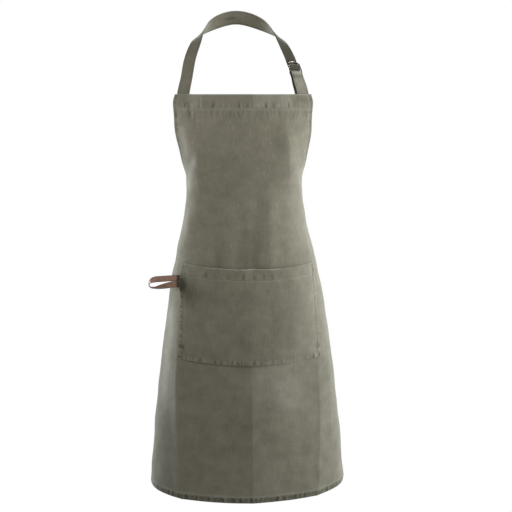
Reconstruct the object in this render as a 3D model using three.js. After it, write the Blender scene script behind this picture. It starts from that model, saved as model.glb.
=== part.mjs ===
// Chef apron of washed canvas in its worn form: a bib and skirt cut in one piece, a wide patch pocket,
// a neck strap that weaves through a metal slider, and a leather towel loop caught in the pocket's seam.
// Millimetres, +Z up. The front faces -Y. The origin is the middle of the strap behind the neck.

import * as THREE from "three";

// Canvas: one layer, the layers of a turned hem, and the depth of each hem
const CLOTH = 1.2;
const HEM_LAYERS = 2;
const HEM = { top: 30, bottom: 12, side: 10, pocketMouth: 22 };
const SEAM_STEP = 1;

// Clearances: between pieces, and between two curved walls that are made of flat facets
const GAP = 0.3;
const FACET_GAP = 0.55;

// Body: height of the bib's top edge, drop from there to the bottom edge, and the number of facets
const BIB_TOP = -166;
const BODY_DROP = 860;
const BODY_ROWS = 38;
const BODY_COLUMNS = 36;

// Bottom edge: how far it rises towards both side edges, how much more on the right than on the left, and
// the drop at which the lines of the cloth begin to follow it
const BOTTOM_EDGE = { rise: 17, tilt: 4, from: 480 };

// Level sections of the worn body. down: below the bib's top edge. halfWidth, front and halfDepth: the
// ellipse that the cloth follows. sway: its centre to the side, as the skirt hangs a little askew.
// flatHalf: half of the cloth's own width there, measured along the cloth.
const SECTIONS = [
  { down: 0, halfWidth: 175, front: -165, halfDepth: 95, sway: -1, flatHalf: 154 },
  { down: 18, halfWidth: 175, front: -171, halfDepth: 100, sway: -1, flatHalf: 160 },
  { down: 60, halfWidth: 170, front: -183, halfDepth: 110, sway: -1, flatHalf: 160 },
  { down: 120, halfWidth: 147, front: -187, halfDepth: 112, sway: 2, flatHalf: 160 },
  { down: 180, halfWidth: 124.5, front: -178, halfDepth: 103, sway: 4, flatHalf: 180 },
  { down: 215, halfWidth: 125.5, front: -176, halfDepth: 102, sway: 5, flatHalf: 226 },
  { down: 260, halfWidth: 131, front: -184, halfDepth: 111, sway: 5, flatHalf: 286 },
  { down: 320, halfWidth: 144.5, front: -198, halfDepth: 127, sway: 6.5, flatHalf: 293 },
  { down: 390, halfWidth: 160, front: -207, halfDepth: 138, sway: 8, flatHalf: 301 },
  { down: 500, halfWidth: 177, front: -213, halfDepth: 146, sway: 10, flatHalf: 313 },
  { down: 660, halfWidth: 197, front: -218, halfDepth: 151, sway: 10.5, flatHalf: 331 },
  { down: BODY_DROP, halfWidth: 215, front: -222, halfDepth: 156, sway: 12, flatHalf: 350 },
];

// Pressed creases of the quarter folds. at: place across the cloth at CREASE_LEVEL below the bib's top.
// lean: run across for each millimetre down. The crease grows from fadeIn to full, and reach is its fading.
const CREASE_LEVEL = 600;
const CREASES = [
  { at: -171.8, lean: 0.059, fadeIn: 430, full: 600, height: 3.4, reach: 34 },
  { at: 0, lean: 0, fadeIn: 230, full: 620, height: 3, reach: 40 },
  { at: 161.3, lean: -0.056, fadeIn: 430, full: 600, height: 3.4, reach: 34 },
  { at: -171.8, lean: 0.059, fadeIn: 566, full: 690, height: 3.6, reach: 24 },
  { at: 0, lean: 0, fadeIn: 566, full: 680, height: 2.8, reach: 24 },
  { at: 161.3, lean: -0.056, fadeIn: 566, full: 690, height: 3, reach: 24 },
];

// Folds of the bib, the waist and the skirt, each a ridge (or a valley, with a negative height) along a
// straight line whose ends fade over a share of its length. A lower power makes a sharper ridge.
const FOLD_FADE = 0.25;
const FOLDS = [
  { fromAcross: -96, fromDown: 70, toAcross: -103, toDown: 196, halfWidth: 40, height: 15, power: 1.3 },
  { fromAcross: 86, fromDown: 70, toAcross: 90, toDown: 196, halfWidth: 40, height: 13, power: 1.3 },
  { fromAcross: -40, fromDown: 222, toAcross: -62, toDown: 320, halfWidth: 17, height: 4, power: 2 },
  { fromAcross: 44, fromDown: 205, toAcross: 44, toDown: 362, halfWidth: 17, height: 4.5, power: 2 },
  { fromAcross: 9, fromDown: 285, toAcross: 7, toDown: 376, halfWidth: 10, height: -6, power: 2 },
  { fromAcross: -64, fromDown: 322, toAcross: -66, toDown: 380, halfWidth: 9, height: -4, power: 2 },
  { fromAcross: 84, fromDown: 200, toAcross: 94, toDown: 540, halfWidth: 30, height: 4, power: 2 },
  { fromAcross: -118, fromDown: 240, toAcross: -176, toDown: 330, halfWidth: 22, height: 3.2, power: 2 },
  { fromAcross: 118, fromDown: 540, toAcross: 122, toDown: 660, halfWidth: 50, height: -6, power: 2 },
];

// Patch pocket: flat size, drop of its mouth below the bib's top, dip of its level lines between the side
// seams, fullness at the mouth, and the number of facets
const POCKET = { width: 334, depth: 202, mouth: 364, dip: 7, fullness: 9, columns: 24, rows: 8 };

// Lift of the pocket over the caught ends of the leather loop: level out to a margin, then fading
const LIFT = { margin: 2, fade: 16, spare: 1, rows: 3, columns: 2 };

// Neck strap and tab: flat width and thickness. Both go behind the bib's hem, from entry to tuck below its
// top edge. The neck's middle is a little to the left.
const STRAP = { width: 30, thickness: 1.5, entry: 2, tuck: 27, rootAcross: 135, inset: 1.9 };
const STRAP_STEPS = { left: 34, right: 24, weave: 54 };
const NECK_SHIFT = -7.5;

// Half of the strap's way from behind the neck to the bib, mirrored for the other half. droop and turn aim
// the strap's outer edge: degrees below level, and degrees round from +X towards +Y.
const NECK_WAY = [
  { x: 0, y: 0, z: 0, droop: 80, turn: 90 },
  { x: 9, y: -0.5, z: -0.5, droop: 80, turn: 86 },
  { x: 30, y: -6, z: -5.5, droop: 79, turn: 75 },
  { x: 62, y: -28, z: -21, droop: 64, turn: 40 },
  { x: 85, y: -66, z: -43, droop: 40, turn: 10 },
  { x: 96, y: -89, z: -64, droop: 24, turn: 18 },
  { x: 108, y: -109, z: -94, droop: 11, turn: 29 },
  { x: 118, y: -127, z: -132, droop: 3, turn: 34 },
];

// Slider: three bevelled bars in one flat frame, the top bar bowed. Bar centres are measured along the strap
// from the middle bar, which sits fromRoot above the bib's top edge.
const SLIDER = {
  bar: 2.4, opening: 32, upper: 7.5, lower: -14, bow: 5, fromRoot: 64.5, corner: 2.6, bevel: 0.5,
  curveSteps: 8,
};

// The strap's way is straight within this distance of the middle bar and follows the neck again beyond it
const STRAIGHT = { within: 12, beyond: 34 };

// Weave of the strap through the slider: along the strap from the middle bar, and out to the front
const WEAVE = [
  { along: 60, out: 0 },
  { along: 30, out: -1.4 },
  { along: 15, out: -2.7 },
  { along: 9.4, out: -2.8 },
  { along: 6.4, out: -2.3 },
  { along: 4.3, out: -0.3 },
  { along: 2.4, out: 2.1 },
  { along: 0, out: 3.0 },
  { along: -3.0, out: 2.1 },
  { along: -6, out: -0.6 },
  { along: -9, out: -3.4 },
  { along: -12, out: -4.7 },
  { along: -16, out: -4.9 },
  { along: -24, out: -3.7 },
  { along: -36, out: -3.2 },
];

// Free end of the strap: how far it hangs past the bib's top, and its drift to the side below the slider
const FREE_END = { pastBibTop: 16, drift: 3.2, driftOver: 30 };

// Tab: its two layers part this far below the slider's lower bar and wrap round it between two angles
const TAB = { parting: 9, steps: 7, wrapFrom: 205, wrapTo: -25, wrapSteps: 10 };

// Leather loop: a narrow strip whose two ends are caught in the pocket's seam, one above the other. below:
// its middle under the pocket's mouth. It runs along the cloth until clear of the seam, then heads out.
const LEATHER = { width: 13, thickness: 2, below: 40, caught: 9, clear: 4, heading: 20, sag: 8 };

// Way of the strip from its upper end to its lower end. out: from the caught end. rise: above the loop's
// middle. flat: how far the strip lies flat to the front, from 90 down to 0 where it is seen edge on.
const LOOP_WAY = [
  { out: 0, rise: 7.2, flat: 90 },
  { out: 14, rise: 7.2, flat: 88 },
  { out: 32, rise: 7.5, flat: 72 },
  { out: 52, rise: 8.2, flat: 64 },
  { out: 70, rise: 8.8, flat: 52 },
  { out: 79, rise: 6.0, flat: 30 },
  { out: 82, rise: -0.6, flat: 18 },
  { out: 79, rise: -7.0, flat: 12 },
  { out: 68, rise: -9.8, flat: 13 },
  { out: 50, rise: -9.0, flat: 32 },
  { out: 31, rise: -7.5, flat: 56 },
  { out: 14, rise: -7.2, flat: 86 },
  { out: 0, rise: -7.2, flat: 90 },
];
const LOOP_STEPS = 40;
const RIGHT_ANGLE = 90;

const CANVAS_FINISH = { color: 0x757262, roughness: 0.9, metalness: 0 };
const LEATHER_FINISH = { color: 0x7b5b48, roughness: 0.6, metalness: 0 };
const METAL_FINISH = { color: 0xb9b6aa, roughness: 0.35, metalness: 1 };

const radians = THREE.MathUtils.degToRad;
const smooth = THREE.MathUtils.smoothstep;
const point = (x, y, z) => new THREE.Vector3(x, y, z);

/** Smooth curve through one column of a table, with no overshoot between its rows. */
function columnCurve(rows, at, name) {
  const order = [...rows].sort((one, other) => one[at] - other[at]);
  const xs = order.map((row) => row[at]);
  const ys = order.map((row) => row[name]);
  const rises = xs.slice(1).map((x, k) => (ys[k + 1] - ys[k]) / (x - xs[k]));
  const slopes = xs.map((_, k) => {
    if (k === 0) return rises[0];
    if (k === xs.length - 1) return rises[k - 1];
    const product = rises[k - 1] * rises[k];
    return product <= 0 ? 0 : (2 * product) / (rises[k - 1] + rises[k]);
  });
  return (x) => {
    const k = Math.max(0, Math.min(xs.length - 2, xs.findLastIndex((knot) => knot <= x)));
    const span = xs[k + 1] - xs[k];
    const t = THREE.MathUtils.clamp((x - xs[k]) / span, 0, 1);
    const bend = ys[k] * (1 + 2 * t) * (1 - t) ** 2 + ys[k + 1] * (3 - 2 * t) * t ** 2;
    return bend + span * t * (1 - t) * (slopes[k] * (1 - t) - slopes[k + 1] * t);
  };
}

/** Evenly spread values from first to last. */
function spread(first, last, steps) {
  return Array.from({ length: steps + 1 }, (_, k) => first + ((last - first) * k) / steps);
}

/** Closed solid through a row of rings. A ring holds one face's points and then the other's, backwards. */
function loft(rings) {
  const size = rings[0].length;
  const last = (rings.length - 1) * size;
  const index = [];
  const quad = (a, b, c, d) => index.push(a, b, c, a, c, d);
  for (let base = 0; base < last; base += size) {
    for (let k = 0; k < size; k += 1) {
      const next = (k + 1) % size;
      quad(base + k, base + next, base + size + next, base + size + k);
    }
  }
  for (let k = 0; k < size / 2 - 1; k += 1) {
    quad(k + 1, k, size - 1 - k, size - 2 - k);
    quad(last + k, last + k + 1, last + size - 2 - k, last + size - 1 - k);
  }
  const corners = rings.flat();
  const volume = index.reduce((sum, _, k) => {
    if (k % 3) return sum;
    const [a, b, c] = [corners[index[k]], corners[index[k + 1]], corners[index[k + 2]]];
    return sum + a.dot(b.clone().cross(c));
  }, 0);
  const geometry = new THREE.BufferGeometry();
  const positions = corners.flatMap((corner) => corner.toArray());
  geometry.setAttribute("position", new THREE.Float32BufferAttribute(positions, 3));
  geometry.setIndex(volume < 0 ? index.reverse() : index);
  geometry.computeVertexNormals();
  return geometry;
}

/** Flat strip along stations, each with its place, its direction across the strip and its face normal. */
function strip(stations, width, thickness) {
  return loft(stations.map(({ place, across, face }) => {
    const side = across.clone().multiplyScalar(width / 2);
    const proud = face.clone().multiplyScalar(thickness / 2);
    return [
      place.clone().sub(side).add(proud),
      place.clone().add(side).add(proud),
      place.clone().add(side).sub(proud),
      place.clone().sub(side).sub(proud),
    ];
  }));
}

/** Stations for a strip along a line of places, each with a wish for the direction across the strip. */
function stationsAlong(places, wishes) {
  return places.map((place, k) => {
    const before = places[Math.max(0, k - 1)];
    const after = places[Math.min(places.length - 1, k + 1)];
    const way = after.clone().sub(before).normalize();
    const across = wishes[k].clone().addScaledVector(way, -way.dot(wishes[k])).normalize();
    return { place, across, face: across.clone().cross(way) };
  });
}

// Shape of the worn cloth

const sectionAt = Object.fromEntries(["halfWidth", "front", "halfDepth", "sway", "flatHalf"].map((name) => {
  return [name, columnCurve(SECTIONS, "down", name)];
}));
const ARC_STEPS = 180;
const NORMAL_STEP = 3;
const arcTables = new Map();

/** Cloth length from the centre front to each degree round the section. */
function arcTable(down) {
  if (!arcTables.has(down)) {
    const [wide, deep] = [sectionAt.halfWidth(down), sectionAt.halfDepth(down)];
    const lengths = [0];
    for (let k = 1; k <= ARC_STEPS; k += 1) {
      const angle = radians(k - 0.5);
      lengths.push(lengths[k - 1] + radians(1) * Math.hypot(wide * Math.cos(angle), deep * Math.sin(angle)));
    }
    arcTables.set(down, lengths);
  }
  return arcTables.get(down);
}

/** Angle round the section at a cloth distance from the centre front. */
function angleAt(across, down) {
  const lengths = arcTable(down);
  const reach = Math.min(Math.abs(across), lengths[ARC_STEPS - 1]);
  const k = lengths.findLastIndex((length) => length <= reach);
  const part = (reach - lengths[k]) / (lengths[k + 1] - lengths[k]);
  return Math.sign(across) * radians(k + part);
}

/** Height of creases and folds above the plain section. */
function relief(across, down) {
  const creases = CREASES.reduce((sum, crease) => {
    const away = Math.abs(across - crease.at - crease.lean * (down - CREASE_LEVEL));
    const grown = smooth(down, crease.fadeIn, crease.full);
    return sum + crease.height * grown * Math.exp(-away / crease.reach);
  }, 0);
  return FOLDS.reduce((sum, fold) => {
    const run = new THREE.Vector2(fold.toAcross - fold.fromAcross, fold.toDown - fold.fromDown);
    const here = new THREE.Vector2(across - fold.fromAcross, down - fold.fromDown);
    const along = here.dot(run) / run.lengthSq();
    const away = Math.abs(here.cross(run)) / run.length();
    const begun = smooth(along, -FOLD_FADE, FOLD_FADE);
    const ended = smooth(along, 1 - FOLD_FADE, 1 + FOLD_FADE);
    const rounded = Math.exp(-((away / fold.halfWidth) ** fold.power));
    return sum + fold.height * begun * (1 - ended) * rounded;
  }, creases);
}

/** Place on the outer face of the cloth. across: along the cloth from the centre front. */
function clothPlace(across, down) {
  const angle = angleAt(across, down);
  const [wide, deep] = [sectionAt.halfWidth(down), sectionAt.halfDepth(down)];
  const outward = point(deep * Math.sin(angle), -wide * Math.cos(angle), 0).normalize();
  const middle = sectionAt.front(down) + deep;
  const aside = sectionAt.sway(down) + wide * Math.sin(angle);
  const place = point(aside, middle - deep * Math.cos(angle), BIB_TOP - down);
  return place.addScaledVector(outward, relief(across, down));
}

/** Outward normal of the cloth. */
function clothNormal(across, down) {
  const sideways = clothPlace(across + NORMAL_STEP, down).sub(clothPlace(across - NORMAL_STEP, down));
  const downwards = clothPlace(across, down + NORMAL_STEP).sub(clothPlace(across, down - NORMAL_STEP));
  return downwards.cross(sideways).normalize();
}

/** Place at a distance out from the cloth's outer face. */
function offCloth(across, down, out) {
  return clothPlace(across, down).addScaledVector(clothNormal(across, down), out);
}

/** Rise of the bottom edge at a share of the cloth's half width. */
function edgeRise(share) {
  return BOTTOM_EDGE.rise * share ** 2 + BOTTOM_EDGE.tilt * share;
}

/** Body: bib and skirt in one wall, thicker by the turned layer along every edge. */
function bodyGeometry() {
  const field = spread(HEM.top + SEAM_STEP, BODY_DROP - HEM.bottom - SEAM_STEP, BODY_ROWS);
  const hemRows = [0, HEM.top, BODY_DROP - HEM.bottom, BODY_DROP];
  const drops = [...hemRows, ...field].sort((one, other) => one - other);
  return loft(drops.map((drop) => {
    const half = sectionAt.flatHalf(drop);
    const seam = half - HEM.side;
    const inside = spread(-(seam - SEAM_STEP), seam - SEAM_STEP, BODY_COLUMNS);
    const acrosses = [-half, -seam, ...inside, seam, half];
    const layersAt = (across) => (hemRows.includes(drop) || Math.abs(across) >= seam ? HEM_LAYERS : 1);
    const downAt = (across) => drop - edgeRise(across / half) * smooth(drop, BOTTOM_EDGE.from, BODY_DROP);
    const outer = acrosses.map((across) => clothPlace(across, downAt(across)));
    const inner = acrosses.map((across) => offCloth(across, downAt(across), -CLOTH * layersAt(across)));
    return [...outer, ...inner.reverse()];
  }));
}

/** Drop of the pocket's level lines: they dip between the side seams. */
function pocketDown(across, below) {
  return POCKET.mouth + below - POCKET.dip * (across / (POCKET.width / 2)) ** 2;
}

/** Room between the pocket and the body: full at the mouth, closed at the seams, lifted over the loop. */
function pocketRoom(across, below) {
  const side = 1 - (2 * Math.abs(across) / POCKET.width) ** 2;
  const full = POCKET.fullness * side * (1 - below / POCKET.depth);
  const fromSeam = across + POCKET.width / 2;
  const fromLoop = Math.abs(below - LEATHER.below);
  const past = (distance, level) => {
    const edge = level + LIFT.margin;
    return 1 - smooth(distance, edge, edge + LIFT.fade);
  };
  const beside = past(fromLoop, LEATHER.width);
  const inwards = past(fromSeam, LEATHER.caught);
  return FACET_GAP + Math.max(full, (LEATHER.thickness + LIFT.spare) * beside * inwards);
}

/** Pocket: one wall over the body, with a turned hem at its mouth. */
function pocketGeometry() {
  const half = POCKET.width / 2;
  const loopReach = LEATHER.width + LIFT.margin;
  const loopRows = spread(LEATHER.below - loopReach, LEATHER.below + loopReach, LIFT.rows);
  const field = spread(LEATHER.below + loopReach + LIFT.fade, POCKET.depth, POCKET.rows);
  const hemRows = [0, HEM.pocketMouth / 2, HEM.pocketMouth];
  const belows = [...hemRows, HEM.pocketMouth + SEAM_STEP, ...loopRows, ...field];
  const loopEnd = LEATHER.caught + LIFT.margin - half;
  const overLoop = spread(-half, loopEnd, LIFT.columns);
  const acrosses = [...overLoop, ...spread(loopEnd, half, POCKET.columns).slice(1)];
  return loft(belows.map((below) => {
    const layers = hemRows.includes(below) ? HEM_LAYERS : 1;
    const placeAt = (across, out) => {
      return offCloth(across, pocketDown(across, below), pocketRoom(across, below) + out);
    };
    const outer = acrosses.map((across) => placeAt(across, CLOTH * layers));
    const inner = acrosses.map((across) => placeAt(across, 0));
    return [...outer, ...inner.reverse()];
  }));
}

// Way of the neck strap

/** Direction from a strap's middle to its outer edge. */
function edgeDirection(droop, turn) {
  const level = Math.cos(radians(droop));
  return point(level * Math.cos(radians(turn)), level * Math.sin(radians(turn)), -Math.sin(radians(droop)));
}

/** Points of one half of the strap's way, from behind the neck to its end behind the bib's hem. */
function neckWay(side) {
  const mirror = point(side, 1, 1);
  const rows = NECK_WAY.map(({ x, y, z, droop, turn }) => ({
    place: point(x, y, z).multiply(mirror).add(point(NECK_SHIFT * (1 - (z / BIB_TOP) ** 2), 0, 0)),
    edge: edgeDirection(droop, turn).multiply(mirror),
  }));
  const plies = side < 0 ? STRAP.thickness : 2 * STRAP.thickness + GAP;
  const behind = -(CLOTH * HEM_LAYERS + STRAP.inset + plies / 2);
  const tucked = [STRAP.entry, STRAP.tuck].map((down) => {
    const across = side * STRAP.rootAcross;
    const along = clothPlace(across + side, down).sub(clothPlace(across - side, down)).normalize();
    return { place: offCloth(across, down, behind), edge: along };
  });
  return [...rows, ...tucked];
}

/** Curve of places and curve of edge directions through the points of a way. */
function wayCurves(way) {
  const places = new THREE.CatmullRomCurve3(way.map((row) => row.place), false, "centripetal");
  const edges = new THREE.CatmullRomCurve3(way.map((row) => row.edge), false, "centripetal");
  const length = places.getLength();
  const atLength = (distance) => places.getUtoTmapping(0, THREE.MathUtils.clamp(distance, 0, length));
  return {
    length,
    placeAt: (distance) => places.getPoint(atLength(distance)),
    wayAt: (distance) => places.getTangent(atLength(distance)),
    edgeAt: (distance) => edges.getPoint(atLength(distance)).normalize(),
  };
}

const leftWay = wayCurves(neckWay(-1));
const rightWay = wayCurves(neckWay(1));
const bibTopOnWay = rightWay.length - STRAP.tuck;
const sliderOnWay = bibTopOnWay - SLIDER.fromRoot;

/** Slider's frame: middle bar's centre, across to the strap's outer edge, up along the strap, and front. */
function sliderFrame() {
  const up = rightWay.wayAt(sliderOnWay).negate();
  const edge = rightWay.edgeAt(sliderOnWay);
  const across = edge.addScaledVector(up, -up.dot(edge)).normalize();
  return { centre: rightWay.placeAt(sliderOnWay), across, up, front: across.clone().cross(up) };
}

/** Place beside the strap's way near the slider: along it, out to the front, and across it. */
function besideSlider(along, out, across = 0) {
  const frame = sliderFrame();
  const distance = sliderOnWay - along;
  const near = 1 - smooth(Math.abs(along), STRAIGHT.within, STRAIGHT.beyond);
  const straight = frame.centre.clone().addScaledVector(frame.up, along);
  const edge = rightWay.edgeAt(distance).lerp(frame.across, near).normalize();
  const up = rightWay.wayAt(distance).negate().lerp(frame.up, near).normalize();
  const square = edge.addScaledVector(up, -up.dot(edge)).normalize();
  const front = square.clone().cross(up);
  const place = rightWay.placeAt(distance).lerp(straight, near);
  return { place: place.addScaledVector(front, out).addScaledVector(square, across), edge: square };
}

/** Neck strap: from the left corner round the neck, through the slider, to its free end behind the tab. */
function strapGeometry() {
  const left = spread(leftWay.length, 0, STRAP_STEPS.left).map((distance) => ({
    place: leftWay.placeAt(distance),
    edge: leftWay.edgeAt(distance),
  }));
  const weaveTop = WEAVE[0].along;
  const right = spread(0, sliderOnWay - weaveTop, STRAP_STEPS.right).slice(1, -1).map((distance) => ({
    place: rightWay.placeAt(distance),
    edge: rightWay.edgeAt(distance),
  }));
  const freeEnd = -(SLIDER.fromRoot + FREE_END.pastBibTop);
  const last = WEAVE[WEAVE.length - 1];
  const rows = [...WEAVE, { along: freeEnd, out: last.out }];
  const knots = rows.map((row) => point(row.along, row.out, 0));
  const weave = new THREE.CatmullRomCurve3(knots, false, "centripetal");
  const woven = weave.getSpacedPoints(STRAP_STEPS.weave).map(({ x: along, y: out }) => {
    const sideways = smooth(-along, -SLIDER.lower, FREE_END.driftOver - SLIDER.lower);
    return besideSlider(along, out, -FREE_END.drift * sideways);
  });
  const all = [...left, ...right, ...woven];
  const stations = stationsAlong(all.map((row) => row.place), all.map((row) => row.edge));
  return strip(stations, STRAP.width, STRAP.thickness);
}

/** Tab: a strip folded over the slider's lower bar, both ends behind the bib's hem. */
function tabGeometry() {
  const ply = (STRAP.thickness + GAP) / 2;
  const round = SLIDER.bar / 2 + GAP + STRAP.thickness / 2;
  const end = -(SLIDER.fromRoot + STRAP.tuck);
  const back = spread(end, SLIDER.lower - TAB.parting, TAB.steps).map((along) => ({ along, out: -ply }));
  const over = spread(TAB.wrapFrom, TAB.wrapTo, TAB.wrapSteps).map((degrees) => ({
    along: SLIDER.lower + round * Math.sin(radians(degrees)),
    out: round * Math.cos(radians(degrees)),
  }));
  const rows = [...back, ...over, ...back.map(({ along }) => ({ along, out: ply })).reverse()];
  const places = rows.map(({ along, out }) => besideSlider(along, out));
  const stations = stationsAlong(places.map((row) => row.place), places.map((row) => row.edge));
  return strip(stations, STRAP.width, STRAP.thickness);
}

/** Slider: flat frame with two openings, its top bar bowed, and rounded edges. */
function sliderGeometry() {
  const { bar, opening, upper, lower, bow, corner, bevel } = SLIDER;
  const half = opening / 2;
  const outside = half + bar - bevel;
  const top = upper + bar / 2 - bevel;
  const bottom = lower - bar / 2 + bevel;
  const outline = new THREE.Shape();
  outline.moveTo(-outside + corner, bottom);
  outline.lineTo(outside - corner, bottom);
  outline.quadraticCurveTo(outside, bottom, outside, bottom + corner);
  outline.lineTo(outside, top - corner);
  outline.quadraticCurveTo(outside, top, outside - corner, top);
  outline.quadraticCurveTo(0, top + 2 * bow, corner - outside, top);
  outline.quadraticCurveTo(-outside, top, -outside, top - corner);
  outline.lineTo(-outside, bottom + corner);
  outline.quadraticCurveTo(-outside, bottom, -outside + corner, bottom);
  const inset = bar / 2 - bevel;
  const upperHole = new THREE.Path();
  upperHole.moveTo(-half - bevel, inset);
  upperHole.lineTo(half + bevel, inset);
  upperHole.lineTo(half + bevel, upper - inset);
  upperHole.quadraticCurveTo(0, upper - inset + 2 * bow, -half - bevel, upper - inset);
  upperHole.closePath();
  const lowerHole = new THREE.Path();
  lowerHole.moveTo(-half - bevel, lower + inset);
  lowerHole.lineTo(half + bevel, lower + inset);
  lowerHole.lineTo(half + bevel, -inset);
  lowerHole.lineTo(-half - bevel, -inset);
  lowerHole.closePath();
  outline.holes.push(upperHole, lowerHole);
  const geometry = new THREE.ExtrudeGeometry(outline, {
    depth: bar - 2 * bevel,
    bevelThickness: bevel,
    bevelSize: bevel,
    bevelSegments: 1,
    curveSegments: SLIDER.curveSteps,
  });
  geometry.translate(0, 0, bevel - bar / 2);
  return geometry;
}

/** Leather loop: out of the pocket's seam, round, and back into the seam below. */
function loopGeometry() {
  const seam = -POCKET.width / 2;
  const down = pocketDown(seam, LEATHER.below);
  const rise = FACET_GAP + LEATHER.thickness / 2;
  const root = offCloth(seam + LEATHER.caught, down, rise);
  const along = offCloth(seam, down, rise).sub(root).normalize();
  const under = clothPlace(seam, down + LEATHER.width);
  const upright = clothPlace(seam, down - LEATHER.width).sub(under).normalize();
  const aim = point(-Math.cos(radians(LEATHER.heading)), Math.sin(radians(LEATHER.heading)), 0);
  const reach = Math.max(...LOOP_WAY.map((row) => row.out));
  const bend = root.clone().addScaledVector(along, LEATHER.caught + LEATHER.clear);
  const tip = bend.clone().addScaledVector(aim, reach - LEATHER.caught - LEATHER.clear);
  const spine = new THREE.CatmullRomCurve3([
    root,
    root.clone().addScaledVector(along, LEATHER.caught),
    bend,
    bend.clone().addScaledVector(aim, LEATHER.caught),
    tip.addScaledVector(upright, -LEATHER.sag),
  ], false, "centripetal");
  const flatWay = LOOP_WAY.map(({ out, rise: height, flat }) => point(out, height, flat / RIGHT_ANGLE));
  const way = new THREE.CatmullRomCurve3(flatWay, false, "centripetal").getSpacedPoints(LOOP_STEPS);
  const places = way.map(({ x: out, y: height }) => {
    return spine.getPointAt(Math.min(1, out / reach)).addScaledVector(upright, height);
  });
  const front = upright.clone().cross(aim).normalize();
  const wishes = way.map(({ z: flat }, k) => {
    const before = places[Math.max(0, k - 1)];
    const after = places[Math.min(LOOP_STEPS, k + 1)];
    const outward = after.clone().sub(before).cross(front).normalize();
    const angle = radians(RIGHT_ANGLE * THREE.MathUtils.clamp(flat, 0, 1));
    return outward.multiplyScalar(Math.sin(angle)).addScaledVector(front, -Math.cos(angle));
  });
  return strip(stationsAlong(places, wishes), LEATHER.width, LEATHER.thickness);
}

/** Named mesh with its own material. */
function piece(name, geometry, finish) {
  const mesh = new THREE.Mesh(geometry, new THREE.MeshStandardMaterial(finish));
  mesh.name = name;
  return mesh;
}

const slider = piece("strap_slider", sliderGeometry(), METAL_FINISH);
const sliderSeat = sliderFrame();
slider.applyMatrix4(new THREE.Matrix4()
  .makeBasis(sliderSeat.across, sliderSeat.up, sliderSeat.front)
  .setPosition(sliderSeat.centre));

const apron = new THREE.Group();
apron.add(
  piece("apron_body", bodyGeometry(), CANVAS_FINISH),
  piece("front_pocket", pocketGeometry(), CANVAS_FINISH),
  piece("neck_strap", strapGeometry(), CANVAS_FINISH),
  piece("strap_tab", tabGeometry(), CANVAS_FINISH),
  slider,
  piece("leather_loop", loopGeometry(), LEATHER_FINISH),
);

export default apron;
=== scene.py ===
"""Dresses the chef apron: washed canvas with turned, stitched hems, a leather loop and a metal slider.

All lengths in the tables are millimetres, as in the part's source. Meshes are made in metres.
"""

import logging
import math
from dataclasses import dataclass, field
from enum import Enum
from typing import Any, Sequence

import bpy
import numpy as np
from mathutils import Matrix, Vector


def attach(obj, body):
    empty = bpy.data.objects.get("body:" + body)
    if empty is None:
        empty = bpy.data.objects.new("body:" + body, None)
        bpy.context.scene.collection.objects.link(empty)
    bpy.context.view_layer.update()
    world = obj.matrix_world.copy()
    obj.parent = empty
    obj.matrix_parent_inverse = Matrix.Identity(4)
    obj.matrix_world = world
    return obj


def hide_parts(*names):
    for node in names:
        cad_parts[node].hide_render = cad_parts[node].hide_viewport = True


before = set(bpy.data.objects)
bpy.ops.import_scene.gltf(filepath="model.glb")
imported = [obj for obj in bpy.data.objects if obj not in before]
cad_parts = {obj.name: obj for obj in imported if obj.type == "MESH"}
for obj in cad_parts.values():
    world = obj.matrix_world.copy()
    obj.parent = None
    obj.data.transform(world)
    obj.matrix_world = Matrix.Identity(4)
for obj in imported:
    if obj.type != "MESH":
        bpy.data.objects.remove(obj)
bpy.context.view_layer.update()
LOG = logging.getLogger("chef_apron")
MM = 0.001
Array = np.ndarray
Values = np.ndarray | float
Piece = bpy.types.Object
Material = bpy.types.Material
Row = tuple[float, ...]
Colour = tuple[float, float, float]
Pair = tuple[float, float]
Triple = tuple[float, float, float]

# Canvas: one layer, the layers of a turned hem, and the gaps that flat and curved walls keep
CLOTH = 1.2
HEM_LAYERS = 2
GAP = 0.3
FACET_GAP = 0.55

# Level of the bib's top below the neck, a distance too small to matter, and degrees of a square corner
BIB_TOP = -166.0
TINY = 1e-6
RIGHT_ANGLE = 90

# Stitches: distance inside the hem's edge, and height above the cloth
STITCH_INSET = 1.2
STITCH_PROUD = 0.05


class Slot(Enum):
    """Material slots of the part's record."""

    CANVAS = "canvas"
    LEATHER = "leather"
    METAL = "metal"


class Side(Enum):
    """Sides of the apron as seen from the front."""

    LEFT = -1
    RIGHT = 1


def smoothstep(value: Values, low: float, high: float) -> Array:
    """Return 0 below low, 1 above high and a smooth rise between them."""
    share = np.clip((np.asarray(value, float) - low) / (high - low), 0, 1)
    return share * share * (3 - 2 * share)


def unit(vectors: Array) -> Array:
    """Return the vectors at length one."""
    return vectors / np.linalg.norm(vectors, axis=-1, keepdims=True)


def spread(first: float, last: float, steps: int) -> Array:
    """Return evenly spread values from first to last."""
    return np.linspace(first, last, steps + 1)


def bell(distance: Values, reach: Values) -> Array:
    """Return 1 at distance 0, falling smoothly towards 0 past the reach."""
    return np.exp(-((np.asarray(distance, float) / reach) ** 2))


def between(value: Array, rise: Pair, fall: Pair) -> Array:
    """Return 1 between a smooth rise and a smooth fall, and 0 outside them."""
    return smoothstep(value, *rise) * (1 - smoothstep(value, *fall))


def distances_along(places: Array) -> Array:
    """Return the distance of each place from the first, along the line of places."""
    steps = np.linalg.norm(np.diff(places, axis=0), axis=1)
    return np.concatenate([[0], np.cumsum(steps)])


def runs(places: Array) -> Array:
    """Return the run of a line of places at each of them, from the one before to the one after."""
    before = np.concatenate([places[:1], places[:-1]])
    after = np.concatenate([places[1:], places[-1:]])
    return after - before


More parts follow.
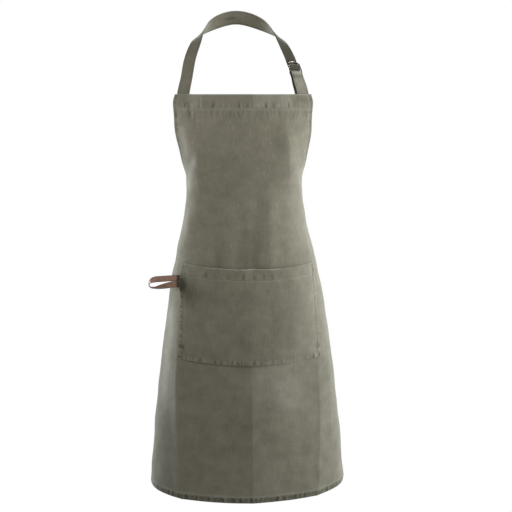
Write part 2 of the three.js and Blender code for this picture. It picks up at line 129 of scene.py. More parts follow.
def stretches(corners: Sequence[Pair], steps: Sequence[int]) -> Array:
    """Return points along straight stretches from corner to corner, as a row across and a row down."""
    parts = [np.linspace(a, b, count + 1) for a, b, count in zip(corners, corners[1:], steps)]
    return np.concatenate(parts).T


def closed_section(right: Array, tip: Array) -> Array:
    """Return a strip's whole section from the right half of its upper face and the tip of its right edge."""
    top = np.concatenate([right[:0:-1] * (-1, 1), right])
    return np.concatenate([top, tip, top[::-1] * (1, -1), -tip])


def added(name: str, data: bpy.types.ID) -> Piece:
    """Return a new object that is linked to the scene."""
    made = bpy.data.objects.new(name, data)
    bpy.context.scene.collection.objects.link(made)
    return made


class ColumnCurve:
    """Smooth curve through one column of a table, with no overshoot between its rows."""

    def __init__(self, knots: Sequence[float], values: Sequence[float]) -> None:
        """Store the column and work out its slopes.

        Args:
            knots: Rising places of the rows.
            values: The column's values at those places.
        """
        self.knots = np.asarray(knots, float)
        self.values = np.asarray(values, float)
        rises = np.diff(self.values) / np.diff(self.knots)
        product = rises[:-1] * rises[1:]
        total = np.where(product > 0, rises[:-1] + rises[1:], 1)
        inner = np.where(product > 0, 2 * product / total, 0)
        self.slopes = np.concatenate([rises[:1], inner, rises[-1:]])

    def __call__(self, place: Values) -> Array:
        """Return the column's value at each place."""
        place = np.asarray(place, float)
        k = np.clip(np.searchsorted(self.knots, place, side="right") - 1, 0, len(self.knots) - 2)
        span = self.knots[k + 1] - self.knots[k]
        t = np.clip((place - self.knots[k]) / span, 0, 1)
        level = self.values[k] * (1 + 2 * t) * (1 - t) ** 2 + self.values[k + 1] * (3 - 2 * t) * t**2
        return level + span * t * (1 - t) * (self.slopes[k] * (1 - t) - self.slopes[k + 1] * t)


class Way:
    """Centripetal Catmull-Rom curve through points, with its length measured along it."""

    DIVISIONS = 200
    SMALL = 1e-4

    def __init__(self, points: Array) -> None:
        """Store the points and measure the curve.

        Args:
            points: One row for each point.
        """
        self.points = np.asarray(points, float)
        self.lengths = distances_along(self.at(spread(0, 1, self.DIVISIONS)))
        self.length = float(self.lengths[-1])

    def at(self, share: Values) -> Array:
        """Return places on the curve.

        Args:
            share: From 0 at the first point to 1 at the last, each span counting the same.

        Returns:
            One row for each share.
        """
        share = np.clip(np.atleast_1d(np.asarray(share, float)), 0, 1)
        ends = [2 * self.points[0] - self.points[1], 2 * self.points[-1] - self.points[-2]]
        padded = np.vstack([ends[:1], self.points, ends[1:]])
        spot = share * (len(self.points) - 1)
        k = np.minimum(spot.astype(int), len(self.points) - 2)
        t = (spot - k)[:, None]
        p0, p1, p2, p3 = (padded[k + step] for step in range(4))
        gaps = [np.sqrt(np.linalg.norm(b - a, axis=1))[:, None] for a, b in ((p0, p1), (p1, p2), (p2, p3))]
        mid = np.where(gaps[1] < self.SMALL**0.5, 1, gaps[1])
        first = np.where(gaps[0] < self.SMALL**0.5, mid, gaps[0])
        last = np.where(gaps[2] < self.SMALL**0.5, mid, gaps[2])
        leave = mid * ((p1 - p0) / first - (p2 - p0) / (first + mid) + (p2 - p1) / mid)
        meet = mid * ((p2 - p1) / mid - (p3 - p1) / (mid + last) + (p3 - p2) / last)
        square = 3 * (p2 - p1) - 2 * leave - meet
        cube = 2 * (p1 - p2) + leave + meet
        return p1 + leave * t + square * t**2 + cube * t**3

    def share_at(self, distance: Values) -> Array:
        """Return the share of the curve at distances along it."""
        return np.interp(distance, self.lengths, spread(0, 1, self.DIVISIONS))

    def along(self, distance: Values) -> Array:
        """Return places at distances along the curve."""
        return self.at(self.share_at(distance))

    def direction(self, distance: Values) -> Array:
        """Return unit directions at distances along the curve."""
        share = self.share_at(distance)
        return unit(self.at(share + self.SMALL) - self.at(share - self.SMALL))


@dataclass(frozen=True)
class Section:
    """Level section of the worn body, an ellipse that the cloth follows."""

    down: float
    half_width: float
    front: float
    half_depth: float
    sway: float
    flat_half: float


@dataclass(frozen=True)
class Crease:
    """Pressed crease of a quarter fold: its place at CREASE_LEVEL, and its run across for each step down."""

    at: float
    lean: float
    fade_in: float
    full: float
    height: float
    reach: float


@dataclass(frozen=True)
class Fold:
    """Ridge along a straight line, or a valley where its height is negative. A lower power is sharper."""

    from_across: float
    from_down: float
    to_across: float
    to_down: float
    half_width: float
    height: float
    power: float = 2


SECTIONS = (
    Section(0, 175, -165, 95, -1, 154),
    Section(18, 175, -171, 100, -1, 160),
    Section(60, 170, -183, 110, -1, 160),
    Section(120, 147, -187, 112, 2, 160),
    Section(180, 124.5, -178, 103, 4, 180),
    Section(215, 125.5, -176, 102, 5, 226),
    Section(260, 131, -184, 111, 5, 286),
    Section(320, 144.5, -198, 127, 6.5, 293),
    Section(390, 160, -207, 138, 8, 301),
    Section(500, 177, -213, 146, 10, 313),
    Section(660, 197, -218, 151, 10.5, 331),
    Section(860, 215, -222, 156, 12, 350),
)
CREASE_LEVEL = 600
CREASES = (
    Crease(-171.8, 0.059, 430, 600, 3.4, 34),
    Crease(0, 0, 230, 620, 3, 40),
    Crease(161.3, -0.056, 430, 600, 3.4, 34),
    Crease(-171.8, 0.059, 566, 690, 3.6, 24),
    Crease(0, 0, 566, 680, 2.8, 24),
    Crease(161.3, -0.056, 566, 690, 3, 24),
)
FOLDS = (
    Fold(-96, 70, -103, 196, 40, 15, 1.3),
    Fold(86, 70, 90, 196, 40, 13, 1.3),
    Fold(-40, 222, -62, 320, 17, 4),
    Fold(44, 205, 44, 362, 17, 4.5),
    Fold(9, 285, 7, 376, 10, -6),
    Fold(-64, 322, -66, 380, 9, -4),
    Fold(84, 200, 94, 540, 30, 4),
    Fold(-118, 240, -176, 330, 22, 3.2),
    Fold(118, 540, 122, 660, 50, -6),
)
FOLD_FADE = 0.25


class WornCloth:
    """Outer face of the worn cloth, addressed by place across it and drop below the bib's top."""

    ARC_STEPS = 180
    CHUNK = 8192
    NORMAL_STEP = 3.0

    def __init__(self) -> None:
        """Make a curve of each column of the sections."""
        downs = [row.down for row in SECTIONS]
        names = ("half_width", "front", "half_depth", "sway", "flat_half")
        curves = (ColumnCurve(downs, [getattr(row, name) for row in SECTIONS]) for name in names)
        self.half_width, self.front, self.half_depth, self.sway, self.flat_half = curves

    def angle(self, across: Array, down: Array) -> Array:
        """Return the angle round the section at a cloth distance from the centre front.

        Args:
            across: Distances along the cloth.
            down: Drops below the bib's top.

        Returns:
            Angles in radians, positive to the right.
        """
        flat_across, flat_down = across.ravel(), down.ravel()
        middles = np.radians(np.arange(self.ARC_STEPS) + 0.5)
        angles = np.empty_like(flat_across)
        for start in range(0, len(flat_across), self.CHUNK):
            part = slice(start, start + self.CHUNK)
            wide = self.half_width(flat_down[part])[:, None]
            deep = self.half_depth(flat_down[part])[:, None]
            steps = np.radians(1) * np.hypot(wide * np.cos(middles), deep * np.sin(middles))
            lengths = np.concatenate([np.zeros_like(wide), np.cumsum(steps, axis=1)], axis=1)
            reach = np.minimum(np.abs(flat_across[part]), lengths[:, -2])
            k = (lengths <= reach[:, None]).sum(axis=1) - 1
            rows = np.arange(len(reach))
            over = (reach - lengths[rows, k]) / steps[rows, k]
            angles[part] = np.sign(flat_across[part]) * np.radians(k + over)
        return angles.reshape(across.shape)

    def relief(self, across: Array, down: Array) -> Array:
        """Return the height of creases and folds above the plain section."""
        total = np.zeros(np.broadcast(across, down).shape)
        for crease in CREASES:
            away = np.abs(across - crease.at - crease.lean * (down - CREASE_LEVEL))
            grown = smoothstep(down, crease.fade_in, crease.full)
            total = total + crease.height * grown * np.exp(-away / crease.reach)
        for fold in FOLDS:
            run = np.array([fold.to_across - fold.from_across, fold.to_down - fold.from_down])
            beside, below = across - fold.from_across, down - fold.from_down
            along = (beside * run[0] + below * run[1]) / run.dot(run)
            away = (beside * run[1] - below * run[0]) / np.linalg.norm(run)
            begun = smoothstep(along, -FOLD_FADE, FOLD_FADE)
            ended = smoothstep(along, 1 - FOLD_FADE, 1 + FOLD_FADE)
            rounded = np.exp(-(np.abs(away / fold.half_width) ** fold.power))
            total = total + fold.height * begun * (1 - ended) * rounded
        return total

    def place(self, across: Values, down: Values) -> Array:
        """Return places on the cloth's outer face.

        Args:
            across: Distances along the cloth from the centre front, positive to the right.
            down: Drops below the bib's top.

        Returns:
            Places, with x, y and z on the last axis.
        """
        across, down = np.broadcast_arrays(np.asarray(across, float), np.asarray(down, float))
        angle = self.angle(across, down)
        wide, deep = self.half_width(down), self.half_depth(down)
        sine, cosine = np.sin(angle), np.cos(angle)
        level = np.hypot(deep * sine, wide * cosine)
        proud = self.relief(across, down) / level
        x = self.sway(down) + wide * sine + proud * deep * sine
        y = self.front(down) + deep - deep * cosine - proud * wide * cosine
        return np.stack([x, y, BIB_TOP - down], axis=-1)

    def normal(self, across: Values, down: Values) -> Array:
        """Return outward unit normals of the cloth."""
        step = self.NORMAL_STEP
        across, down = np.broadcast_arrays(np.asarray(across, float), np.asarray(down, float))
        sideways = self.place(across + step, down) - self.place(across - step, down)
        downwards = self.place(across, down + step) - self.place(across, down - step)
        return unit(np.cross(downwards, sideways))

    def off(self, across: Values, down: Values, out: Values) -> Array:
        """Return places at a distance out from the cloth's outer face."""
        out = np.asarray(out, float)[..., None]
        return self.place(across, down) + out * self.normal(across, down)


CLOTH_SHAPE = WornCloth()


@dataclass(frozen=True)
class PinchLine:
    """Pucker that washing leaves along a stitched line: pinches, each with a ridge beside it. The pinches are
    painted dark as shade, and the ridges painted pale, partly as wear and partly as painted highlight.

    They are spread unevenly, but in the same way on each run.
    """

    PLACES = (0.0, 0.95)
    STRENGTHS = (0.25, 1.0)
    WIDTHS = (0.7, 1.5)
    LEANS = (-1, 1)

    first: float
    last: float
    spacing: float
    width: float
    strength: float
    edge_reach: float
    field_reach: float
    seed: int
    lean: float = 0.25
    shift: float = 0.0
    ridge: float = 0.6
    ridge_shift: float = 1.9
    unevenness: float = 1.5

    def signed(self, along: Array, away: Array) -> Array:
        """Return the pucker: positive in a pinch and negative on a ridge.

        Args:
            along: Places along the stitched line.
            away: Distance from it, positive into the field and negative towards the edge.

        Returns:
            Shares, up to about the line's strength.
        """
        rng = np.random.default_rng(self.seed)
        count = max(1, round((self.last - self.first) / self.spacing))
        places = self.first + self.spacing * (np.arange(count) + rng.uniform(*self.PLACES, count))
        strengths = self.strength * rng.uniform(*self.STRENGTHS, count) ** self.unevenness
        widths = self.width * rng.uniform(*self.WIDTHS, count)
        leans = self.lean * rng.uniform(*self.LEANS, count)
        from_line = away - self.shift
        reach = np.where(from_line < 0, self.edge_reach, self.field_reach)
        near = bell(from_line, reach)
        total = np.zeros(np.broadcast(along, away).shape)
        for place, strength, width, lean in zip(places, strengths, widths, leans):
            spot = (along - place - lean * from_line) / width
            total += strength * (bell(spot, 1) - self.ridge * bell(spot - self.ridge_shift, 1))
        return np.clip(total, -self.strength, self.strength) * near


@dataclass(frozen=True)
class Streak:
    """Soft mark on the cloth along a straight line, from place to place across and down."""

    first: Pair
    last: Pair
    width: float
    strength: float

    def __call__(self, across: Array, drop: Array) -> Array:
        """Return the mark's strength at places on the cloth."""
        run = np.subtract(self.last, self.first)
        share = ((across - self.first[0]) * run[0] + (drop - self.first[1]) * run[1]) / run.dot(run)
        share = np.clip(share, 0, 1)
        away = np.hypot(across - self.first[0] - share * run[0], drop - self.first[1] - share * run[1])
        return self.strength * bell(away, self.width)


@dataclass(frozen=True)
class Panel:
    """Mark on the cloth between two lengthwise lines, with soft ends."""

    left: float
    right: float
    top: float
    bottom: float
    soft_left: float
    soft_right: float
    soft_ends: float
    strength: float

    def __call__(self, across: Array, drop: Array) -> Array:
        """Return the mark's strength at places on the cloth."""
        left, right = (self.left - self.soft_left, self.left), (self.right, self.right + self.soft_right)
        top, bottom = (self.top - self.soft_ends, self.top), (self.bottom, self.bottom + self.soft_ends)
        return self.strength * between(across, left, right) * between(drop, top, bottom)


@dataclass(frozen=True)
class Band:
    """Soft line of wear, painted shade or painted highlight at a distance from an edge or a seam."""

    at: float
    reach: float
    strength: float

    def __call__(self, distance: Array) -> Array:
        """Return the band's strength at distances from the edge."""
        return self.strength * bell(distance - self.at, self.reach)


@dataclass(frozen=True)
class Shadow:
    """Dark oval on the cloth: its middle, half sizes and strength. A higher power has a harder rim."""

    across: float
    below: float
    half_width: float
    half_height: float
    strength: float
    power: float

    def __call__(self, across: Array, below: Array) -> Array:
        """Return the shadow's strength at places on the cloth."""
        sideways = (across - self.across) / self.half_width
        downwards = (below - self.below) / self.half_height
        return self.strength * np.exp(-(np.hypot(sideways, downwards) ** self.power))


class Crumple:
    """Soft unevenness of washed cloth, a sum of seeded waves."""

    def __init__(self, seed: int, shortest: float, longest: float, height: float, waves: int = 26) -> None:
        """Draw the waves.

        Args:
            seed: Seed of the draw.
            shortest: Shortest wavelength.
            longest: Longest wavelength.
            height: Typical height.
            waves: Number of waves.
        """
        rng = np.random.default_rng(seed)
        lengths = np.exp(rng.uniform(math.log(shortest), math.log(longest), waves))
        turns = rng.uniform(0, 2 * math.pi, waves)
        self.waves = 2 * math.pi / lengths
        self.ways = np.stack([np.cos(turns), np.sin(turns)], axis=1)
        self.phases = rng.uniform(0, 2 * math.pi, waves)
        self.heights = lengths / lengths.mean()
        self.heights *= height / np.sqrt((self.heights**2).sum() / 2)

    def __call__(self, across: Array, down: Array) -> Array:
        """Return the height at places on the cloth."""
        total = np.zeros(np.broadcast(across, down).shape)
        for wave, way, phase, height in zip(self.waves, self.ways, self.phases, self.heights):
            total = total + height * np.sin(wave * (way[0] * across + way[1] * down) + phase)
        return total


class Socket:
    """A shader socket with operators, each of which adds a Math node."""

    def __init__(self, tree: "ShaderTree", socket: bpy.types.NodeSocket) -> None:
        """Wrap one socket of a tree."""
        self.tree = tree
        self.socket = socket

    def math(self, operation: str, *others: "Socket | float", first: float | None = None) -> "Socket":
        """Add a Math node and return its result. In a reflected operator, first stands before this value."""
        values = (self, *others) if first is None else (first, self)
        return self.tree.node("ShaderNodeMath", {"operation": operation}, dict(enumerate(values)))

    def __add__(self, other: "Socket | float") -> "Socket":
        """Return self + other."""
        return self.math("ADD", other)

    def __sub__(self, other: "Socket | float") -> "Socket":
        """Return self - other."""
        return self.math("SUBTRACT", other)

    def __rsub__(self, other: float) -> "Socket":
        """Return other - self."""
        return self.math("SUBTRACT", first=other)

    def __mul__(self, other: "Socket | float") -> "Socket":
        """Return self * other."""
        return self.math("MULTIPLY", other)

    # A sum and a product are the same in either order
    __radd__ = __add__
    __rmul__ = __mul__

    def sine(self) -> "Socket":
        """Return the sine."""
        return self.math("SINE")

    def clamped(self) -> "Socket":
        """Return the value held between 0 and 1."""
        return self.math("MINIMUM", 1.0).math("MAXIMUM", 0.0)


class ShaderTree:
    """Node tree of one material."""

    MIX_LOW = 6
    MIX_HIGH = 7
    MIX_RESULT = 2

    def __init__(self, name: str) -> None:
        """Make a material with one Principled shader.

        Args:
            name: The material's name.
        """
        self.material = bpy.data.materials.new(name)
        self.material.use_nodes = True
        self.nodes = self.material.node_tree.nodes
        self.links = self.material.node_tree.links
        self.shader = self.nodes["Principled BSDF"]

    def node(
        self,
        kind: str,
        settings: dict[str, Any] | None = None,
        inputs: dict[str | int, Any] | None = None,
        output: str | int = 0,
    ) -> Socket:
        """Add a node of any kind.

        Args:
            kind: The node's type.
            settings: Its own settings, set first.
            inputs: Values or links of its sockets.
            output: Socket to return.

        Returns:
            One of the node's outputs.
        """
        made = self.nodes.new(kind)
        for key, value in (settings or {}).items():
            setattr(made, key, value)
        for key, value in (inputs or {}).items():
            self.feed(made.inputs[key], value)
        return Socket(self, made.outputs[output])

    def feed(self, socket: bpy.types.NodeSocket, value: Any) -> None:
        """Link a socket to another, or set its value."""
        if isinstance(value, Socket):
            self.links.new(value.socket, socket)
        else:
            socket.default_value = value

    def noise(self, vector: Socket, scale: float, detail: float = 2.0, roughness: float = 0.5) -> Socket:
        """Return noise from 0 to 1 at a scale in turns for each metre."""
        inputs = {"Vector": vector, "Scale": scale, "Detail": detail, "Roughness": roughness}
        return self.node("ShaderNodeTexNoise", {}, inputs)

    def grain(self, vector: Socket, scale: Sequence[float], detail: float = 2.0) -> Socket:
        """Return noise with its own scale for each axis."""
        stretched = self.node("ShaderNodeMapping", {}, {"Vector": vector, "Scale": scale})
        return self.noise(stretched, 1.0, detail)

    def attribute(self, name: str) -> Socket:
        """Return a number that is stored on the mesh."""
        return self.node("ShaderNodeAttribute", {"attribute_name": name}, output="Fac")

    def blend(self, share: Socket, low: Socket | Colour, high: Socket | Colour) -> Socket:
        """Return a colour between low and high."""
        ends = [colour if isinstance(colour, Socket) else (*colour, 1) for colour in (low, high)]
        inputs = {"Factor": share, self.MIX_LOW: ends[0], self.MIX_HIGH: ends[1]}
        return self.node("ShaderNodeMix", {"data_type": "RGBA"}, inputs, self.MIX_RESULT)

    def tint(self, colour: Socket, share: Socket) -> Socket:
        """Return a colour made darker or lighter by a share."""
        inputs = {0: colour, "Scale": share}
        return self.node("ShaderNodeVectorMath", {"operation": "SCALE"}, inputs)

    def bump(self, height: Socket, distance: float, strength: float = 1.0) -> Socket:
        """Return a normal bent by a height from 0 to 1."""
        inputs = {"Height": height, "Distance": distance, "Strength": strength}
        return self.node("ShaderNodeBump", {}, inputs)

    def dress(self, **inputs: Any) -> Material:
        """Feed the shader's sockets and return the material.

        Args:
            inputs: Socket names with _ for each space, and their values or links.

        Returns:
            The finished material.
        """
        for name, value in inputs.items():
            self.feed(self.shader.inputs[name.replace("_", " ")], value)
        return self.material


@dataclass(frozen=True)
class CanvasFinish:
    """Stone-washed cotton canvas: plain weave, slubs and washed patches, with painted shade and painted
    highlights blended into its colour.

    Scales are turns for each metre. A noise is its scale, detail and roughness.
    """

    colour: Colour = (0.168, 0.158, 0.120)
    # Near-black olive blended in as painted shade: in pinches, folds and the bottom hem, under the loop and
    # on shaded parts of the strap and tab
    painted_shade_colour: Colour = (0.040, 0.037, 0.024)
    # Pale colour for worn edges and seams, and for painted highlights on facets, folds, ridges and the tab's
    # rib
    worn_and_painted_light: Colour = (0.30, 0.29, 0.245)
    thread_pitch: float = 0.00085
    slub_scale: Triple = (700, 28, 1)
    slub_detail: float = 3.0
    pick_scale: Triple = (40, 620, 1)
    fleck_scale: Triple = (330, 62, 1)
    fleck_level: float = 0.60
    fleck_gain: float = 5.0
    patch_noise: Triple = (34.0, 4.0, 0.62)
    cloud_noise: Pair = (8.0, 2.0)
    crumple_noise: Triple = (95.0, 3.0, 0.55)
    bib_threads: float = 1.4
    threads_lost: float = 1.1
    slub_light: float = 0.30
    fleck_light: float = 0.42
    plain_light: float = 0.36
    patch_light: float = 0.60
    cloud_light: float = 0.24
    pick_light: float = 0.10
    weave_light: float = 0.05
    weave_height: float = 0.10
    slub_height: float = 0.16
    pick_height: float = 0.10
    crumple_height: float = 0.64
    depth: float = 0.0014
    depth_share: float = 0.55
    roughness: float = 0.86
    slub_roughness: float = 0.1
    sheen: float = 0.4
    sheen_roughness: float = 0.3
    sheen_tint: Colour = (0.9, 0.9, 0.88)
    specular: float = 0.1

    def material(self) -> Material:
        """Return the canvas material, which reads the cloth's own coordinates in metres."""
        tree = ShaderTree("washed_canvas")
        cloth = tree.node("ShaderNodeUVMap", {"uv_map": "cloth"})
        across, down = (tree.node("ShaderNodeSeparateXYZ", {}, {0: cloth}, axis) for axis in "XY")
        turn = 2 * math.pi / self.thread_pitch
        weave = (across * turn).sine() * (down * turn).sine() * 0.5 + 0.5
        slub = tree.grain(cloth, self.slub_scale, self.slub_detail)
        pick = tree.grain(cloth, self.pick_scale)
        fleck = ((tree.grain(cloth, self.fleck_scale) - self.fleck_level) * self.fleck_gain).clamped()
        patch = tree.noise(cloth, *self.patch_noise)
        cloud = tree.noise(cloth, *self.cloud_noise)
        washed = self.bib_threads - down * self.threads_lost
        threads = (slub * self.slub_light + fleck * self.fleck_light) * washed
        light = self.plain_light + patch * self.patch_light + cloud * self.cloud_light
        light = light + pick * self.pick_light + weave * self.weave_light + threads
        # Paled by real wear and by painted highlights, both stored in one attribute on the mesh
        base = tree.tint(tree.blend(tree.attribute("wear_and_painted_light"), self.colour, self.worn_and_painted_light), light)
        crumple = tree.noise(cloth, *self.crumple_noise)
        height = weave * self.weave_height + slub * self.slub_height + pick * self.pick_height
        height = height + crumple * self.crumple_height
        return tree.dress(
            # Darkened by painted shade where the mesh's shade attribute is high
            Base_Color=tree.blend(tree.attribute("painted_shade"), base, self.painted_shade_colour),
            Roughness=self.roughness + slub * self.slub_roughness,
            Normal=tree.bump(height, self.depth, self.depth_share),
            Sheen_Weight=self.sheen,
            Sheen_Roughness=self.sheen_roughness,
            Sheen_Tint=(*self.sheen_tint, 1),
            Specular_IOR_Level=self.specular,
        )


@dataclass(frozen=True)
class ThreadFinish:
    """Matt cotton thread, twisted."""

    dark: Colour = (0.15, 0.14475, 0.11625)
    light: Colour = (0.25, 0.24125, 0.19375)
    fibre_noise: Pair = (2600.0, 1.0)
    roughness: float = 0.8
    sheen: float = 0.3
    specular: float = 0.25

    def material(self) -> Material:
        """Return the thread material."""
        tree = ShaderTree("seam_thread")
        place = tree.node("ShaderNodeTexCoord", {}, {}, "Object")
        return tree.dress(
            Base_Color=tree.blend(tree.noise(place, *self.fibre_noise), self.dark, self.light),
            Roughness=self.roughness,
            Sheen_Weight=self.sheen,
            Specular_IOR_Level=self.specular,
        )


@dataclass(frozen=True)
class LeatherFinish:
    """Waxed brown leather with a fine grain and darker, burnished edges; its caught ends are painted near
    black as shadow.
    """

    colour: Colour = (0.20, 0.105, 0.068)
    pale: Colour = (0.31, 0.192, 0.135)
    edge: Colour = (0.075, 0.042, 0.032)
    painted_root_shadow: Colour = (0.034, 0.029, 0.011)
    grain_scale: float = 900.0
    patch_noise: Triple = (90.0, 3.0, 0.6)
    fine_noise: Pair = (1500.0, 2.0)
    patch_gain: float = 1.7
    patch_level: float = 0.45
    plain_light: float = 0.8
    grain_light: float = 0.35
    grain_height: float = 0.6
    fine_height: float = 0.2
    depth: float = 0.0003
    depth_share: float = 0.5
    roughness: float = 0.42
    fine_roughness: float = 0.2
    specular: float = 0.25

    def material(self) -> Material:
        """Return the leather material."""
        tree = ShaderTree("waxed_leather")
        skin = tree.node("ShaderNodeUVMap", {"uv_map": "cloth"})
        cells = {"Vector": skin, "Scale": self.grain_scale}
        grain = tree.node("ShaderNodeTexVoronoi", {"feature": "SMOOTH_F1"}, cells)
        patch = tree.noise(skin, *self.patch_noise)
        fine = tree.noise(skin, *self.fine_noise)
        paler = (patch * self.patch_gain - self.patch_level).clamped()
        light = self.plain_light + grain * self.grain_light
        body = tree.tint(tree.blend(paler, self.colour, self.pale), light)
        trimmed = tree.blend(tree.attribute("rim"), body, self.edge)
        height = grain * self.grain_height + (fine + patch) * self.fine_height
        return tree.dress(
            # Caught ends painted near black as shadow
            Base_Color=tree.blend(tree.attribute("caught"), trimmed, self.painted_root_shadow),
            Roughness=self.roughness + fine * self.fine_roughness,
            Normal=tree.bump(height, self.depth, self.depth_share),
            Specular_IOR_Level=self.specular,
        )


@dataclass(frozen=True)
class MetalFinish:
    """Satin nickel plate with fine brushing, and a painted highlight on the upper left of the slider's bow.
    """

    colour: Colour = (0.13, 0.125, 0.11)
    # Pale colour painted on the bow as a highlight
    painted_glint: Colour = (0.34, 0.33, 0.30)
    brush_scale: Triple = (3000, 400, 400)
    worn_noise: Pair = (260.0, 3.0)
    plain_light: float = 0.82
    worn_light: float = 0.3
    roughness: float = 0.26
    brush_roughness: float = 0.14
    depth: float = 0.00004
    depth_share: float = 0.4

    def material(self) -> Material:
        """Return the metal material."""
        tree = ShaderTree("satin_nickel")
        place = tree.node("ShaderNodeTexCoord", {}, {}, "Object")
        brushed = tree.grain(place, self.brush_scale)
        light = self.plain_light + tree.noise(place, *self.worn_noise) * self.worn_light
        return tree.dress(
            # The bow's marked part painted pale as a highlight
            Base_Color=tree.tint(tree.blend(tree.attribute("painted_highlight"), self.colour, self.painted_glint), light),
            Metallic=1.0,
            Roughness=self.roughness + brushed * self.brush_roughness,
            Normal=tree.bump(brushed, self.depth, self.depth_share),
        )


@dataclass
class Finishes:
    """Materials of the apron, each made once."""

    canvas: Material = field(default_factory=lambda: CanvasFinish().material())
    thread: Material = field(default_factory=lambda: ThreadFinish().material())
    leather: Material = field(default_factory=lambda: LeatherFinish().material())
    metal: Material = field(default_factory=lambda: MetalFinish().material())


@dataclass
class MeshData:
    """Points, faces and per-point values of a piece before it becomes a mesh."""

    points: Array
    faces: list[Sequence[int]]
    cloth: Array
    values: dict[str, Array] = field(default_factory=dict)

    def volume(self) -> float:
        """Return the signed volume of the faces, as fans."""
        total = 0.0
        for size in {len(face) for face in self.faces}:
            rows = np.array([face for face in self.faces if len(face) == size])
            first = self.points[rows[:, 0]]
            for k in range(1, size - 1):
                cross = np.cross(self.points[rows[:, k]], self.points[rows[:, k + 1]])
                total += float((first * cross).sum())
        return total / 6

    def object(self, name: str, material: Material) -> Piece:
        """Make a smooth-shaded object whose faces point outwards.

        Args:
            name: The piece's name.
            material: Its finish.

        Returns:
            The new object, linked to the scene.
        """
        faces = self.faces if self.volume() > 0 else [face[::-1] for face in self.faces]
        mesh = bpy.data.meshes.new(name)
        mesh.from_pydata((self.points * MM).tolist(), [], faces)
        corners = np.empty(len(mesh.loops), np.int32)
        mesh.loops.foreach_get("vertex_index", corners)
        layer = mesh.uv_layers.new(name="cloth")
        layer.uv.foreach_set("vector", (self.cloth[corners] * MM).astype(np.float32).ravel())
        for key, value in self.values.items():
            attribute = mesh.attributes.new(key, "FLOAT", "POINT")
            attribute.data.foreach_set("value", value.astype(np.float32).ravel())
        mesh.shade_smooth()
        mesh.materials.append(material)
        return added(name, mesh)


def wall(outer: Array, inner: Array, cloth: Array, values: dict[str, Array]) -> MeshData:
    """Close two grids of points into one wall.

    Args:
        outer: Grid of places on the outer face.
        inner: The same grid on the inner face.
        cloth: Cloth coordinates of the grid.
        values: Numbers for each grid point, the same on both faces.

    Returns:
        The closed wall.
    """
    rows, columns = outer.shape[:2]
    ids = np.arange(rows * columns).reshape(rows, columns)
    back = ids + rows * columns
    a, b, c, d = ids[:-1, :-1], ids[:-1, 1:], ids[1:, 1:], ids[1:, :-1]
    quads = [np.stack([a, b, c, d], axis=-1).reshape(-1, 4)]
    quads.append(np.stack([a, d, c, b], axis=-1).reshape(-1, 4) + rows * columns)
    rim = np.concatenate([ids[0, :-1], ids[:-1, -1], ids[-1, :0:-1], ids[:0:-1, 0]])
    behind = np.concatenate([back[0, :-1], back[:-1, -1], back[-1, :0:-1], back[:0:-1, 0]])
    next_rim, next_behind = np.roll(rim, -1), np.roll(behind, -1)
    quads.append(np.stack([next_rim, rim, behind, next_behind], axis=-1))
    points = np.concatenate([outer.reshape(-1, 3), inner.reshape(-1, 3)])
    doubled = {key: np.tile(value.ravel(), 2) for key, value in values.items()}
    faces = np.concatenate(quads).tolist()
    return MeshData(points, faces, np.tile(cloth.reshape(-1, 2), (2, 1)), doubled)


@dataclass
class Stations:
    """Places along a strip with its direction across and its face normal."""

    places: Array
    across: Array
    face: Array

    @classmethod
    def along(cls, places: Array, wishes: Array) -> "Stations":
        """Square the wished directions across to the way of the strip.

        Args:
            places: Middle of the strip.
            wishes: Rough directions across it.

        Returns:
            The stations.
        """
        ways = unit(runs(places))
        across = unit(wishes - (wishes * ways).sum(axis=1, keepdims=True) * ways)
        return cls(places, across, np.cross(across, ways))

    @classmethod
    def of(cls, rows: Sequence[tuple[Array, Array]]) -> "Stations":
        """Return stations from pairs of a place and a wished direction across."""
        places, wishes = (np.array(column) for column in zip(*rows))
        return cls.along(places, wishes)

    def distances(self) -> Array:
        """Return the distance of each station from the first."""
        return distances_along(self.places)

    def flat(self, width: float) -> Pair:
        """Return the strip's width and length when it lies flat, in metres."""
        return width * MM, float(self.distances()[-1]) * MM

    def line(self, across: float, out: float) -> tuple[Array, Array]:
        """Return places on a line along the strip, and the normals there."""
        side = math.copysign(1, out)
        return self.places + across * self.across + out * self.face, side * self.face

    def strip(self, profile: Array, values: dict[str, Array]) -> MeshData:
        """Sweep a closed profile along the stations.

        Args:
            profile: Points of the profile, across and out.
            values: Numbers for each profile point, or for each profile point of each station.

        Returns:
            The closed strip.
        """
        count, size = len(self.places), len(profile)
        across = profile[None, :, :1] * self.across[:, None]
        out = profile[None, :, 1:] * self.face[:, None]
        points = (self.places[:, None] + across + out).reshape(-1, 3)
        ids = np.arange(count * size).reshape(count, size)
        turned = np.roll(ids, -1, axis=1)
        quads = np.stack([ids[:-1], turned[:-1], turned[1:], ids[1:]], axis=-1).reshape(-1, 4)
        faces = [*quads.tolist(), ids[0, ::-1].tolist(), ids[-1].tolist()]
        alongs = np.repeat(self.distances(), size)
        cloth = np.stack([np.tile(profile[:, 0], count), alongs], axis=1)
        whole = {key: np.broadcast_to(value, (count, size)).ravel() for key, value in values.items()}
        return MeshData(points, faces, cloth, whole)


@dataclass(frozen=True)
class StitchLine:
    """Line of stitches: places on a surface and the normals there."""

    places: Array
    normals: Array


